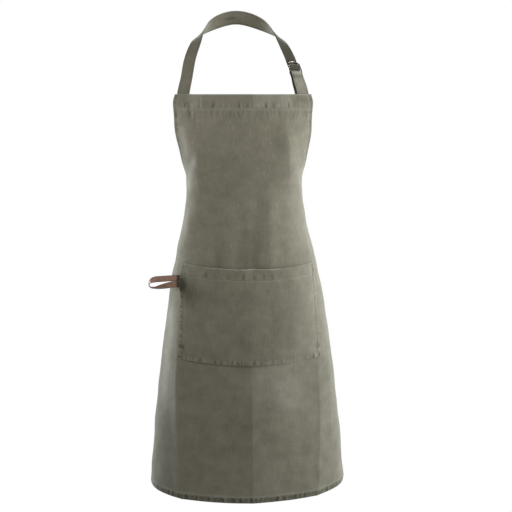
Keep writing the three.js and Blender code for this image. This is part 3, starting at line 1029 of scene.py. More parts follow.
@dataclass(frozen=True)
class StitchTree:
    """Geometry Nodes tree that lays one stitch after another along lines."""

    NAME = "stitch_lines"

    pitch: float = 3.1
    length: float = 2.5
    thickness: float = 0.62
    sides: int = 6
    rings: int = 4

    def tree(self) -> bpy.types.NodeTree:
        """Return the node tree, with its sizes as named inputs."""
        group = bpy.data.node_groups.new(self.NAME, "GeometryNodeTree")
        sizes = dict.fromkeys(("Pitch", "Length", "Thickness"), "Float")
        for name, kind in {"Lines": "Geometry", **sizes, "Thread": "Material"}.items():
            group.interface.new_socket(name, in_out="INPUT", socket_type="NodeSocket" + kind)
        group.interface.new_socket("Stitches", in_out="OUTPUT", socket_type="NodeSocketGeometry")
        add = group.nodes.new
        given, result = add("NodeGroupInput"), add("NodeGroupOutput")
        curve, resample = add("GeometryNodeMeshToCurve"), add("GeometryNodeResampleCurve")
        resample.mode = "LENGTH"
        tangent, normal = add("GeometryNodeInputTangent"), add("GeometryNodeInputNamedAttribute")
        normal.data_type = "FLOAT_VECTOR"
        normal.inputs["Name"].default_value = "lie"
        turn = add("FunctionNodeAxesToRotation")
        turn.primary_axis = "X"
        turn.secondary_axis = "Z"
        ball, shape = add("GeometryNodeMeshUVSphere"), add("GeometryNodeTransform")
        ball.inputs["Segments"].default_value = self.sides
        ball.inputs["Rings"].default_value = self.rings
        ball.inputs["Radius"].default_value = 0.5
        shape.inputs["Rotation"].default_value = (0, math.pi / 2, 0)
        scale, copies = add("ShaderNodeCombineXYZ"), add("GeometryNodeInstanceOnPoints")
        real, smooth = add("GeometryNodeRealizeInstances"), add("GeometryNodeSetShadeSmooth")
        dress = add("GeometryNodeSetMaterial")
        links = (
            (given, "Lines", curve, 0),
            (curve, 0, resample, "Curve"),
            (given, "Pitch", resample, "Length"),
            (tangent, 0, turn, "Primary Axis"),
            (normal, 0, turn, "Secondary Axis"),
            (given, "Thickness", scale, "X"),
            (given, "Thickness", scale, "Y"),
            (given, "Length", scale, "Z"),
            (ball, "Mesh", shape, "Geometry"),
            (scale, 0, shape, "Scale"),
            (resample, 0, copies, "Points"),
            (shape, "Geometry", copies, "Instance"),
            (turn, 0, copies, "Rotation"),
            (copies, 0, real, 0),
            (real, 0, smooth, 0),
            (smooth, 0, dress, "Geometry"),
            (given, "Thread", dress, "Material"),
            (dress, 0, result, 0),
        )
        for source, output, target, entry in links:
            group.links.new(source.outputs[output], target.inputs[entry])
        return group

    def sew(self, name: str, lines: Sequence[StitchLine], thread: Material) -> Piece:
        """Lay stitches along lines and turn them into a plain mesh.

        Args:
            name: The piece's name.
            lines: Lines to sew.
            thread: Finish of the thread.

        Returns:
            The stitches as one object.
        """
        places = np.concatenate([line.places for line in lines])
        normals = np.concatenate([line.normals for line in lines])
        edges: list[tuple[int, int]] = []
        start = 0
        for line in lines:
            edges += [(start + k, start + k + 1) for k in range(len(line.places) - 1)]
            start += len(line.places)
        guide = bpy.data.meshes.new(name + "_lines")
        guide.from_pydata((places * MM).tolist(), edges, [])
        lie = guide.attributes.new("lie", "FLOAT_VECTOR", "POINT")
        lie.data.foreach_set("vector", normals.astype(np.float32).ravel())
        piece = added(name, guide)
        modifier = piece.modifiers.new("stitches", "NODES")
        group = bpy.data.node_groups.get(self.NAME) or self.tree()
        modifier.node_group = group
        settings: dict[str, Any] = {"Pitch": self.pitch * MM, "Length": self.length * MM}
        settings |= {"Thickness": self.thickness * MM, "Thread": thread}
        for item in group.interface.items_tree:
            if item.in_out == "INPUT" and item.name in settings:
                modifier[item.identifier] = settings[item.name]
        evaluated = piece.evaluated_get(bpy.context.evaluated_depsgraph_get())
        mesh = bpy.data.meshes.new_from_object(evaluated)
        piece.modifiers.remove(modifier)
        piece.data = mesh
        mesh.name = name
        return piece


def finished(piece: Piece, node: str | None = None) -> Piece:
    """Tell the frame what a piece rides on and the node that it stands for.

    Args:
        piece: The finished piece.
        node: Node that it replaces, if any.

    Returns:
        The same piece.
    """
    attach(piece, "root")
    if node:
        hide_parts(node)
    triangles = sum(len(polygon.vertices) - 2 for polygon in piece.data.polygons)
    LOG.info("%s: %d triangles", piece.name, triangles)
    return piece


@dataclass
class GridLine:
    """Rows or columns of a wall's grid: distance from an edge, and share of the thickness left there."""

    ROUND_ANGLES = (80, 45)

    distances: list[float]
    shares: list[float]

    @classmethod
    def edge(cls, radius: float, inward: Sequence[float]) -> "GridLine":
        """Return a rounded edge and the lines that follow it.

        Args:
            radius: Half of the wall's thickness at the edge.
            inward: Distances of the next lines from the edge.

        Returns:
            The lines from the edge inwards.
        """
        angles = [math.radians(angle) for angle in cls.ROUND_ANGLES]
        distances = [radius * (1 - math.sin(angle)) for angle in angles]
        shares = [math.cos(angle) for angle in angles]
        return cls([*distances, radius, *inward], [*shares, 1.0, *[1.0] * len(inward)])

    @staticmethod
    def span(first: "GridLine", last: "GridLine", length: float, steps: int) -> tuple[Array, Array]:
        """Fill the field between two edges with even lines.

        Args:
            first: Lines at the start.
            last: Lines at the end, counted from there.
            length: Distance from edge to edge.
            steps: Number of steps in the field.

        Returns:
            Distances from the start, and shares of the thickness.
        """
        near, far = np.array(first.distances), length - np.array(last.distances)[::-1]
        fill = spread(near[-1], far[0], steps)[1:-1]
        shares = np.concatenate([first.shares, np.ones(len(fill)), last.shares[::-1]])
        return np.concatenate([near, fill, far]), shares


@dataclass
class BodyCloth:
    """Bib and skirt in one cut, its hems turned in on all edges."""

    drop: float = 860
    hem_top: float = 30
    hem_bottom: float = 12
    hem_side: float = 10
    edge_rise: float = 17
    edge_tilt: float = 4
    edge_from: float = 480
    hem_curl: float = 2.2
    curl_above_hem: float = 3
    # Painted shade in the bottom hem, broken by its pucker ridges, and along the bib's turned sides
    hem_shade: float = 0.42
    hem_soft: float = 1
    hem_ridge_gain: float = 2
    hem_ridge_most: float = 0.9
    hem_ridge_lost: float = 0.6
    side_shade: float = 0.22
    side_shade_fade: Pair = (175, 215)
    side_band: Pair = (-1.5, 1)
    pinch_depth: float = 0.9
    painted_shade_most: float = 0.92
    right_shift: float = 7
    top_lines: Row = (4, 8, 12, 16, 19, 21.5, 24, 26, 28)
    below_top: Row = (31, 32.5, 35, 38, 42)
    low_lines: Row = (2.6, 4, 5.5, 7, 8.5, 10, 11)
    above_low: Row = (13, 15, 18)
    side_lines: Row = (2.6, 4.5, 6.5, 8.3)
    beside_side: Row = (10.8, 13, 16)
    field_rows: int = 148
    field_columns: int = 252
    stitch_end: float = 4
    side_end: float = 3
    top_steps: int = 160
    low_steps: int = 320
    side_steps: int = 430
    flat: Pair = (0.70, 0.87)
    area: float = 0.480
    top_pinches: PinchLine = PinchLine(
        -160, 160, 10.5, 2.3, 0.72, 8, 3, seed=11, lean=0.18, shift=-4, ridge=0.45, unevenness=2.2
    )
    top_streaks: PinchLine = PinchLine(-160, 160, 9.5, 2.2, 0.30, 8, 9, seed=14, shift=12)
    bottom_pinches: PinchLine = PinchLine(-360, 360, 7.0, 2.1, 0.75, 14, 2.2, seed=12, lean=0.30, shift=-2)
    side_pinches: PinchLine = PinchLine(0, 870, 11, 2.6, 0.32, 9, 4, seed=13, lean=0.3, shift=-1)
    edge_wear: Band = Band(0, 1.6, 0.5)
    edge_by_tab: Pair = (104, 116)
    seam_wear: Band = Band(2, 1.8, 0.2)
    hem_wear: Band = Band(2.2, 1.5, 0.35)
    # Paler marks: painted highlights on the left bib's fold ridges and facet, painted light on the left skirt
    # panel, by the left crease, right of the centre crease and on a fold above the pocket; real wear along
    # the left strap root's stitching and in the top hem
    painted_light_and_fading: tuple[Streak | Panel, ...] = (
        Streak((-138, 72), (-132, 122), 9, 0.42),
        Streak((-108, 124), (-112, 142), 7, 0.42),
        Streak((-112, 142), (-150, 196), 9, 0.5),
        Streak((-150, 45), (-152, 130), 26, 0.16),
        Streak((-208, 470), (-206, 650), 20, 0.42),
        Panel(-222, -174, 500, 640, 26, 4, 90, 0.40),
        Streak((-180, 600), (-169, 850), 12, 0.2),
        Streak((-114, 22), (-111, 46), 3, 0.3),
        Streak((28, 590), (85, 640), 40, 0.26),
        Streak((-28, 296), (-32, 352), 10, 0.13),
        Panel(20, 96, 2, 24, 4, 10, 6, 0.26),
        Panel(-116, -92, 2, 24, 8, 6, 6, 0.20),
    )
    # Painted shade: beside the right strap's root, along the left root's stitching, in two fold valleys above
    # the pocket and by the left strap's root in the top hem
    painted_shade_marks: tuple[Streak | Panel, ...] = (
        Streak((120, 10), (152, 14), 12, 0.26),
        Streak((-122, 18), (-119, 44), 3, 0.4),
        Streak((-3, 286), (-4, 362), 8, 0.3),
        Streak((-66, 334), (-68, 372), 9, 0.14),
        Panel(-146, -126, 2, 24, 6, 4, 6, 0.14),
    )
    crumple: Crumple = field(default_factory=lambda: Crumple(seed=21, shortest=34, longest=130, height=0.45))

    def rise(self, share: Array) -> Array:
        """Return the rise of the bottom edge at shares of the cloth's half width."""
        return self.edge_rise * share**2 + self.edge_tilt * share

    def down(self, across: Array, drop: Array) -> Array:
        """Return the true drop of the cloth's level lines, which follow the bottom edge."""
        share = across / CLOTH_SHAPE.flat_half(drop)
        return drop - self.rise(share) * smoothstep(drop, self.edge_from, self.drop)

    def rows(self) -> tuple[Array, Array, Array]:
        """Return the drops of the grid's rows, their thickness shares and whether each is in a hem."""
        top = GridLine.edge(CLOTH, [*self.top_lines, self.hem_top, *self.below_top])
        low = GridLine.edge(CLOTH, [*self.low_lines, self.hem_bottom, *self.above_low])
        drops, shares = GridLine.span(top, low, self.drop, self.field_rows)
        return drops, shares, (drops <= self.hem_top) | (drops >= self.drop - self.hem_bottom)

    def mesh(self) -> MeshData:
        """Return the wall, thicker by the turned layer along every edge."""
        drops, row_shares, row_hems = self.rows()
        edge = GridLine.edge(CLOTH, [*self.side_lines, self.hem_side, *self.beside_side])
        fill = spread(-1, 1, self.field_columns)[1:-1]
        half = CLOTH_SHAPE.flat_half(drops)[:, None]
        left = -half + np.array(edge.distances)
        field_half = half - edge.distances[-1]
        across = np.concatenate([left, field_half * fill, -left[:, ::-1]], axis=1)
        shares = np.concatenate([edge.shares, np.ones(len(fill)), edge.shares[::-1]])
        thin = row_shares[:, None] * shares[None]
        drop = np.broadcast_to(drops[:, None], across.shape)
        from_side = half - np.abs(across)
        turned = row_hems[:, None] | (from_side <= self.hem_side + TINY)
        thickness = CLOTH * np.where(turned, HEM_LAYERS, 1)
        down = self.down(across, drop)
        relief = self.relief(across, drop)[..., None]
        places = CLOTH_SHAPE.place(across, down)
        normals = CLOTH_SHAPE.normal(across, down)
        outer = places + (relief - (thickness / 2 * (1 - thin))[..., None]) * normals
        inner = places + (relief - (thickness / 2 * (1 + thin))[..., None]) * normals
        values = self.shades(across, drop)
        return wall(outer, inner, np.stack([across, down], axis=-1), values)

    def pucker(self, across: Array, drop: Array) -> Array:
        """Return the pucker along the hems: positive in a pinch, negative on a ridge."""
        from_side = CLOTH_SHAPE.flat_half(drop) - np.abs(across)
        rows = (
            (self.top_pinches, across, drop - self.hem_top),
            (self.top_streaks, across, drop - self.hem_top),
            (self.bottom_pinches, across, self.drop - self.hem_bottom - drop),
            (self.side_pinches, drop + self.right_shift * (across >= 0), from_side - self.hem_side),
        )
        return sum(line.signed(along, away) for line, along, away in rows)

    def relief(self, across: Array, drop: Array) -> Array:
        """Return the height of pucker and crumple, with the bottom hem curled in."""
        curl_from = self.drop - self.hem_bottom - self.curl_above_hem
        curl = self.hem_curl * smoothstep(drop, curl_from, self.drop) ** 2
        return self.crumple(across, drop) - self.pinch_depth * self.pucker(across, drop) - curl

    def shades(self, across: Array, drop: Array) -> dict[str, Array]:
        """Return the cloth's painted shade and its wear with painted highlights.

        Args:
            across: Places across the cloth.
            drop: Drops below the bib's top.

        Returns:
            Values for the painted shade and for the wear and painted light.
        """
        from_side = CLOTH_SHAPE.flat_half(drop) - np.abs(across)
        pucker = self.pucker(across, drop)
        from_hem = drop - (self.drop - self.hem_bottom)
        in_hem = smoothstep(from_hem, -self.hem_soft, self.hem_soft)
        ridges = np.clip(-self.hem_ridge_gain * pucker, 0, self.hem_ridge_most)
        beside_bib = 1 - smoothstep(drop, *self.side_shade_fade)
        band = 1 - smoothstep(from_side - self.hem_side, *self.side_band)
        # Painted shade: pinches, the curled bottom hem, the bib's turned sides and the folds' valleys
        painted_shade = np.clip(pucker, 0, 1) + self.hem_shade * in_hem * (1 - ridges)
        painted_shade = painted_shade + self.side_shade * band * beside_bib + sum(mark(across, drop) for mark in self.painted_shade_marks)
        by_tab = 1 + smoothstep(across, *self.edge_by_tab)
        seam = np.maximum(self.seam_wear(drop - self.hem_top), self.seam_wear(from_side - self.hem_side))
        wear_and_painted_light = by_tab * self.edge_wear(np.minimum(from_side, drop)) + seam + self.hem_wear(-from_hem)
        # Pucker ridges paler, partly as wear and partly as painted highlight, and painted light on facets and
        # folds
        wear_and_painted_light = wear_and_painted_light + np.clip(-pucker, 0, 1) * (1 - self.hem_ridge_lost * in_hem)
        wear_and_painted_light = wear_and_painted_light + sum(mark(across, drop) for mark in self.painted_light_and_fading)
        return {"painted_shade": np.clip(painted_shade, 0, self.painted_shade_most), "wear_and_painted_light": np.clip(wear_and_painted_light, 0, 1)}

    def stitch_lines(self) -> list[StitchLine]:
        """Return the hems' stitch lines on both faces."""
        top_half, low_half = (CLOTH_SHAPE.flat_half(at) - self.stitch_end for at in (self.hem_top, self.drop))
        levels = (
            (spread(-top_half, top_half, self.top_steps), self.hem_top - STITCH_INSET),
            (spread(-low_half, low_half, self.low_steps), self.drop - self.hem_bottom + STITCH_INSET),
        )
        drops = spread(self.side_end, self.drop - self.side_end, self.side_steps)
        half = CLOTH_SHAPE.flat_half(drops) - self.hem_side + STITCH_INSET
        lines = []
        for out in (STITCH_PROUD, -HEM_LAYERS * CLOTH - STITCH_PROUD):
            lines += [self.line(across, np.full(across.shape, drop), out) for across, drop in levels]
            lines += [self.line(side.value * half, drops, out) for side in Side]
        return lines

    def line(self, across: Array, drops: Array, out: float) -> StitchLine:
        """Return a stitch line on the cloth, sunk into its pinches."""
        down = self.down(across, drops)
        normals = CLOTH_SHAPE.normal(across, down)
        places = CLOTH_SHAPE.place(across, down) + (self.relief(across, drops) + out)[:, None] * normals
        return StitchLine(places, normals * math.copysign(1, out))

    def build(self, finishes: Finishes) -> None:
        """Make the cloth and its stitches.

        Args:
            finishes: Materials to dress them in.
        """
        cloth = finished(self.mesh().object("body_cloth", finishes.canvas), "apron_body")
        sewn = StitchTree().sew("body_stitches", self.stitch_lines(), finishes.thread)
        stitches = finished(sewn)


@dataclass(frozen=True)
class LoopSeat:
    """Place of the leather loop's caught ends under the pocket's left edge."""

    width: float = 13
    thickness: float = 2
    below: float = 40
    caught: float = 9
    margin: float = 2
    fade: float = 16
    spare: float = 1

    def lift(self, from_seam: Array, below: Array) -> Array:
        """Return how far the caught ends lift the pocket."""
        lift = self.thickness + self.spare
        for distance, level in ((np.abs(below - self.below), self.width), (from_seam, self.caught)):
            lift = lift * (1 - smoothstep(distance - level - self.margin, 0, self.fade))
        return lift


LOOP_SEAT = LoopSeat()


@dataclass
class PocketCloth:
    """Wide patch pocket, sewn on at its sides and bottom."""

    width: float = 334
    depth: float = 202
    mouth: float = 364
    dip: float = 7
    fullness: float = 9
    hem: float = 22
    rows_inside: int = 74
    columns_inside: int = 150
    mouth_lean: float = 0.8
    mouth_lean_over: float = 45
    pinch_depth: float = 0.6
    painted_shade_most: float = 0.95
    sewn_at: float = 4
    sewn_pucker: float = 0.3
    free_from: Pair = (2, 30)
    deepest: float = -0.5
    edge_ply: float = 0.7
    ply_fade: Pair = (7.5, 11)
    mouth_lines: Row = (3, 5, 8, 11, 13.5, 16, 18, 20)
    below_mouth: Row = (23, 24.5, 27)
    edge_lines: Row = (2.4, 4, 6, 8, 10, 11)
    mouth_pinches: PinchLine = PinchLine(
        -104, 44, 12.5, 2.4, 0.66, 8, 3, seed=31, lean=0.15, shift=-3, ridge=0.4
    )
    left_pinches: PinchLine = PinchLine(0, 202, 8, 2.2, 0.75, 5, 5, seed=32, lean=0.3, ridge=0.5)
    right_pinches: PinchLine = PinchLine(0, 202, 9, 2.2, 0.32, 5, 5, seed=34, lean=0.3)
    bottom_pinches: PinchLine = PinchLine(
        -167, 167, 7.5, 2.0, 0.88, 5, 5, seed=33, lean=0.3, shift=1, ridge=0.35
    )
    # Right edge painted paler, as light falling from the right
    painted_light_and_fading: Streak = Streak((158, 0), (160, 202), 20, 0.2)
    shadows: tuple[Shadow, ...] = (Shadow(0, 3, 19, 17, 0.97, 3), Shadow(26, 20, 36, 28, 0.55, 2))
    mouth_wear: Band = Band(0, 1.5, 0.85)
    mouth_rise: Pair = (-112, -84)
    mouth_fall: Pair = (46, 78)
    mouth_least: float = 0.12
    edge_wear: Band = Band(0, 1.4, 0.16)
    hem_wear: Band = Band(2, 1.8, 0.22)
    sewn_wear: Band = Band(5.3, 1.2, 0.25)
    box_across: Pair = (2.2, 13)
    box_below: Pair = (2.5, 30)
    box_shade_below: Pair = (2.5, 30.1)
    box_steps: tuple[int, int, int] = (5, 11, 5)
    box_sides: Pair = (0.3, 0.85)
    box_wear: Band = Band(0, 1.1, 1)
    box_shade: Band = Band(-2, 1.3, 0.6)
    tack_across: Pair = (2, 13)
    tack_up: float = 28
    tack_rows: int = 3
    tack_pitch: float = 0.9
    tack_steps: int = 5
    tack_sides: Pair = (0.9, 0.35)
    tack_shade: Band = Band(-27, 3.2, 1)
    tack_fade: Pair = (14, 18)
    hem_end: float = 3
    hem_steps: int = 170
    edge_rows: Pair = (2.2, 8.4)
    edge_start: float = 2
    edge_steps: int = 100
    above_loop_steps: int = 14
    below_loop_steps: int = 68
    low_steps: int = 160
    loop_gap: Pair = (-17, 19)
    crumple: Crumple = field(default_factory=lambda: Crumple(seed=22, shortest=28, longest=110, height=0.40))

    def down(self, across: Array, below: Array) -> Array:
        """Return the drop of the pocket's level lines, which dip between the side seams."""
        return self.mouth + below - self.dip * (across / (self.width / 2)) ** 2

    def room(self, across: Array, below: Array) -> Array:
        """Return the room between the pocket and the body."""
        side = 1 - (2 * np.abs(across) / self.width) ** 2
        lean = 1 - self.mouth_lean * (1 - smoothstep(below, 0, self.mouth_lean_over))
        full = self.fullness * np.clip(side, 0, 1) * (1 - below / self.depth) * lean
        lift = LOOP_SEAT.lift(across + self.width / 2, below)
        return FACET_GAP + np.maximum(full, lift)

    def pucker(self, across: Array, below: Array) -> Array:
        """Return the pucker along the mouth's hem and the sewn edges."""
        rows = (
            (self.mouth_pinches, across, below - self.hem),
            (self.left_pinches, below, across + self.width / 2 - self.sewn_at),
            (self.right_pinches, below, self.width / 2 - across - self.sewn_at),
            (self.bottom_pinches, across, self.depth - below - self.sewn_at),
        )
        return sum(line.signed(along, away) for line, along, away in rows)

    def shades(self, across: Array, below: Array) -> dict[str, Array]:
        """Return the pocket's painted shade and its wear with painted light.

        Args:
            across: Places across the pocket from its middle.
            below: Distances below its mouth.

        Returns:
            Values for the painted shade and for the wear and painted light.
        """
        pucker = self.pucker(across, below)
        from_side = self.width / 2 - np.abs(across)
        from_left, from_loop = across + self.width / 2, below - LOOP_SEAT.below
        shadow = sum(spot(from_left, from_loop) for spot in self.shadows)
        tack = self.tack_shade(below - self.depth) * (1 - smoothstep(from_side, *self.tack_fade))
        tack = tack * np.where(across < 0, *self.tack_sides)
        beyond = np.maximum(self.past(from_side, self.box_across), self.past(below, self.box_shade_below))
        box = np.where(across < 0, *self.box_sides)
        middle = between(across, self.mouth_rise, self.mouth_fall)
        mouth = self.mouth_wear(below) * (self.mouth_least + (1 - self.mouth_least) * middle)
        sewn = np.minimum(from_side, self.depth - below)
        seam = self.edge_wear(sewn) + self.hem_wear(below - self.hem) + self.sewn_wear(sewn)
        # Wear at the mouth, seams and corner boxes, with pucker ridges paler as wear and painted highlight,
        # and the painted light of the right edge
        wear_and_painted_light = mouth + seam + box * self.box_wear(beyond) + np.clip(-pucker, 0, 1) + self.painted_light_and_fading(across, below)
        # Painted shade: pinches, the painted shadow below the loop's caught ends, the bar tacks and inside
        # the corner boxes
        painted_shade = np.clip(pucker, 0, 1) + shadow + tack + box * self.box_shade(beyond)
        return {"painted_shade": np.clip(painted_shade, 0, self.painted_shade_most), "wear_and_painted_light": np.clip(wear_and_painted_light * (1 - shadow), 0, 1)}

    @staticmethod
    def past(place: Array, ends: Pair) -> Array:
        """Return how far places lie outside two ends, negative between them."""
        return np.abs(place - (ends[0] + ends[1]) / 2) - (ends[1] - ends[0]) / 2

    def ply(self, across: Array, below: Array) -> Array:
        """Return the height of the turned ply along the sewn edges."""
        sewn = np.minimum(self.width / 2 - np.abs(across), self.depth - below)
        return self.edge_ply * (1 - smoothstep(sewn, *self.ply_fade))

    def surface(self, across: Array, below: Array, out: Values) -> tuple[Array, Array]:
        """Return places off the pocket's inner face, and the normals there.

        Args:
            across: Places across the pocket from its middle.
            below: Distances below its mouth.
            out: Distances out from its inner face.

        Returns:
            Places and normals.
        """
        down = self.down(across, below)
        free = smoothstep(self.width / 2 - np.abs(across), *self.free_from)
        free = free * smoothstep(self.depth - below, *self.free_from)
        held = self.sewn_pucker + (1 - self.sewn_pucker) * free
        pucker = self.pinch_depth * self.pucker(across, below) * held
        relief = self.crumple(across, below) * free - pucker
        normals = CLOTH_SHAPE.normal(across, down)
        level = self.room(across, below) + np.maximum(relief, self.deepest) + out
        return CLOTH_SHAPE.place(across, down) + level[..., None] * normals, normals

    def mesh(self) -> MeshData:
        """Return the wall, with a turned hem at its mouth and turned edges."""
        top = GridLine.edge(CLOTH, [*self.mouth_lines, self.hem, *self.below_mouth])
        edge = GridLine.edge(CLOTH, self.edge_lines)
        belows, row_shares = GridLine.span(top, edge, self.depth, self.rows_inside)
        from_left, column_shares = GridLine.span(edge, edge, self.width, self.columns_inside)
        across, below = np.meshgrid(from_left - self.width / 2, belows)
        thin = row_shares[:, None] * column_shares[None]
        thickness = self.layers(below)
        outer, _ = self.surface(across, below, thickness * (1 + thin) / 2 + self.ply(across, below) * thin)
        inner, _ = self.surface(across, below, thickness * (1 - thin) / 2)
        cloth = np.stack([across, self.down(across, below)], axis=-1)
        return wall(outer, inner, cloth, self.shades(across, below))

    def layers(self, below: Array) -> Array:
        """Return the thickness of the cloth, doubled in the mouth's hem."""
        return CLOTH * np.where(below <= self.hem, HEM_LAYERS, 1)

    def line(self, across: Values, below: Values) -> StitchLine:
        """Return a stitch line on the pocket's outer face."""
        across, below = np.broadcast_arrays(np.asarray(across, float), np.asarray(below, float))
        out = self.layers(below) + self.ply(across, below) + STITCH_PROUD
        return StitchLine(*self.surface(across, below, out))

    def stitch_lines(self) -> list[StitchLine]:
        """Return the hem, the double edge lines, the corner boxes and the bar tacks."""
        half = self.width / 2
        hem_half = half - self.hem_end
        lines = [self.line(spread(-hem_half, hem_half, self.hem_steps), self.hem - STITCH_INSET)]
        loop_top, loop_bottom = (LOOP_SEAT.below + end for end in self.loop_gap)
        for inset in self.edge_rows:
            side, low = half - inset, self.depth - inset
            lines += [
                self.line(side, spread(self.edge_start, low, self.edge_steps)),
                self.line(-side, spread(self.edge_start, loop_top, self.above_loop_steps)),
                self.line(-side, spread(loop_bottom, low, self.below_loop_steps)),
                self.line(spread(-side, side, self.low_steps), low),
            ]
        for sign in (side.value for side in Side):
            corner, inner = (sign * (half - inset) for inset in self.box_across)
            top, low = self.box_below
            corners = [(corner, top), (inner, top), (inner, low), (corner, low)]
            lines.append(self.line(*stretches(corners, self.box_steps)))
            start, end = (sign * (half - inset) for inset in self.tack_across)
            for row in range(self.tack_rows):
                tack = self.depth - self.tack_up + row * self.tack_pitch
                lines.append(self.line(spread(start, end, self.tack_steps), tack))
        return lines

    def build(self, finishes: Finishes) -> None:
        """Make the pocket and its stitches.

        Args:
            finishes: Materials to dress them in.
        """
        cloth = finished(self.mesh().object("pocket_cloth", finishes.canvas), "front_pocket")
        sewn = StitchTree().sew("pocket_stitches", self.stitch_lines(), finishes.thread)
        stitches = finished(sewn)


@dataclass(frozen=True)
class NeckRow:
    """Point of the strap's way from behind the neck to the bib, with the aim of its outer edge."""

    x: float
    y: float
    z: float
    droop: float
    turn: float


NECK_WAY = (
    NeckRow(0, 0, 0, 80, 90),
    NeckRow(9, -0.5, -0.5, 80, 86),
    NeckRow(30, -6, -5.5, 79, 75),
    NeckRow(62, -28, -21, 64, 40),
    NeckRow(85, -66, -43, 40, 10),
    NeckRow(96, -89, -64, 24, 18),
    NeckRow(108, -109, -94, 11, 29),
    NeckRow(118, -127, -132, 3, 34),
)

# Weave of the strap through the slider: along the strap from the middle bar, and out to the front
WEAVE = (
    *((60, 0), (30, -1.4), (15, -2.7), (9.4, -2.8), (6.4, -2.3), (4.3, -0.3), (2.4, 2.1), (0, 3.0)),
    *((-3.0, 2.1), (-6, -0.6), (-9, -3.4), (-12, -4.7), (-16, -4.9), (-24, -3.7), (-36, -3.2)),
)


@dataclass
class NeckStrap:
    """Neck strap, the tab on the right, and the metal slider between them."""

    width: float = 30
    thickness: float = 1.5
    entry: float = 2
    tuck: float = 27
    root_across: float = 135
    inset: float = 1.9
    neck_shift: float = -7.5
    slider_from_root: float = 64.5
    bar: float = 2.4
    opening: float = 30.6
    upper: float = 7.5
    lower: float = -14
    bow: float = 5
    corner: float = 2.6
    bevel: float = 0.8
    straight_within: float = 12
    straight_beyond: float = 34
    free_past_bib: float = 16
    free_drift: float = 3.2
    free_drift_over: float = 30
    tab_parting: float = 9
    tab_wrap: Pair = (205, -25)
    # Painted shade on the right strap above the slider, where it dives behind the bars and on the tab's ply
    # behind the lower bar, and a little on the left strap
    dark: float = 0.86
    dark_from: Pair = (62, 84)
    dark_above: Pair = (-190, -130)
    left_dark: float = 0.14
    dash: Band = Band(0, 2.2, 0.5)
    dash_rise: Pair = (-35, -29)
    dash_fall: Pair = (-11, -5)
    # Upper left of the bow, painted pale as a highlight
    glint_above: Pair = (7.0, 9.0)
    glint_left: Pair = (3, 8)
    dive: float = 0.95
    dive_from: Pair = (0.5, 2.5)
    painted_shade_most: float = 0.9
    edge_wear: Band = Band(0, 1.2, 0.5)
    seam_shade: Band = Band(12, 0.8, 0.45)
    # Tab: a little darker and paler overall, a painted highlight on the rib below the bar and a band of
    # painted shade under it
    tab_pinch: float = 0.16
    tab_wear: float = 0.25
    tab_highlight: Band = Band(5.5, 2.2, 0.8)
    tab_shade: Band = Band(13.5, 3.5, 0.3)
    section: Row = (0, 3.2, 6.4, 9.2, 10.6, 11.4, 12.0, 12.6, 13.4, 14.2, 14.7)
    rolled: Pair = (0.93, 0.62)
    groove: Band = Band(12, 0.7, 0.16)
    seam_across: float = 12
    stitch_sink: float = 0.06
    tab_unsewn: tuple[int, int] = (38, 66)
    root_half: float = 11
    root_drops: Pair = (5, 25)
    root_steps: tuple[int, ...] = (8, 7, 8, 7)
    step: float = 2.2
    weave_step: float = 0.9
    tab_steps: int = 40
    wrap_steps: int = 22
    corner_steps: int = 6
    bow_steps: int = 24
    bevel_steps: int = 3

    def __post_init__(self) -> None:
        """Work out both halves of the strap's way and the slider's frame."""
        self.left = self.half(Side.LEFT)
        self.right = self.half(Side.RIGHT)
        self.slider_at = self.right[0].length - self.tuck - self.slider_from_root
        self.up = -self.right[0].direction(self.slider_at)[0]
        edge = self.edge_at(self.right, self.slider_at)
        self.across = unit(edge - self.up.dot(edge) * self.up)
        self.front = np.cross(self.across, self.up)
        self.centre = self.right[0].along(self.slider_at)[0]

    def half(self, side: Side) -> tuple[Way, Way]:
        """Return the places and the edge directions of one half of the strap.

        Args:
            side: Which half.

        Returns:
            Curve of places and curve of edge directions, from the neck to the bib.
        """
        mirror = np.array([side.value, 1, 1])
        places, edges = [], []
        for row in NECK_WAY:
            shift = np.array([self.neck_shift * (1 - (row.z / BIB_TOP) ** 2), 0, 0])
            places.append(np.array([row.x, row.y, row.z]) * mirror + shift)
            droop, turn = math.radians(row.droop), math.radians(row.turn)
            level = math.cos(droop)
            edge = np.array([level * math.cos(turn), level * math.sin(turn), -math.sin(droop)])
            edges.append(edge * mirror)
        plies = self.thickness if side is Side.LEFT else 2 * self.thickness + GAP
        behind = -(CLOTH * HEM_LAYERS + self.inset + plies / 2)
        across = side.value * self.root_across
        for down in (self.entry, self.tuck):
            places.append(CLOTH_SHAPE.off(across, down, behind))
            outer, inner = (CLOTH_SHAPE.place(across + step, down) for step in (side.value, -side.value))
            edges.append(unit(outer - inner))
        return Way(np.array(places)), Way(np.array(edges))

    @staticmethod
    def edge_at(half: tuple[Way, Way], distance: float) -> Array:
        """Return the direction to the strap's outer edge at a distance along one half."""
        places, edges = half
        return unit(edges.at(places.share_at(distance))[0])

    def beside_slider(self, along: float, out: float, across: float = 0) -> tuple[Array, Array]:
        """Return a place beside the strap's way near the slider.

        Args:
            along: Distance up the strap from the middle bar.
            out: Distance to the front.
            across: Distance to the outer edge.

        Returns:
            The place, and the direction across the strap there.
        """
        distance = self.slider_at - along
        near = 1 - float(smoothstep(abs(along), self.straight_within, self.straight_beyond))
        edge = self.edge_at(self.right, distance)
        edge = unit(edge + near * (self.across - edge))
        up = -self.right[0].direction(distance)[0]
        up = unit(up + near * (self.up - up))
        square = unit(edge - up.dot(edge) * up)
        place = self.right[0].along(distance)[0]
        place = place + near * (self.centre + along * self.up - place)
        return place + out * np.cross(square, up) + across * square, square

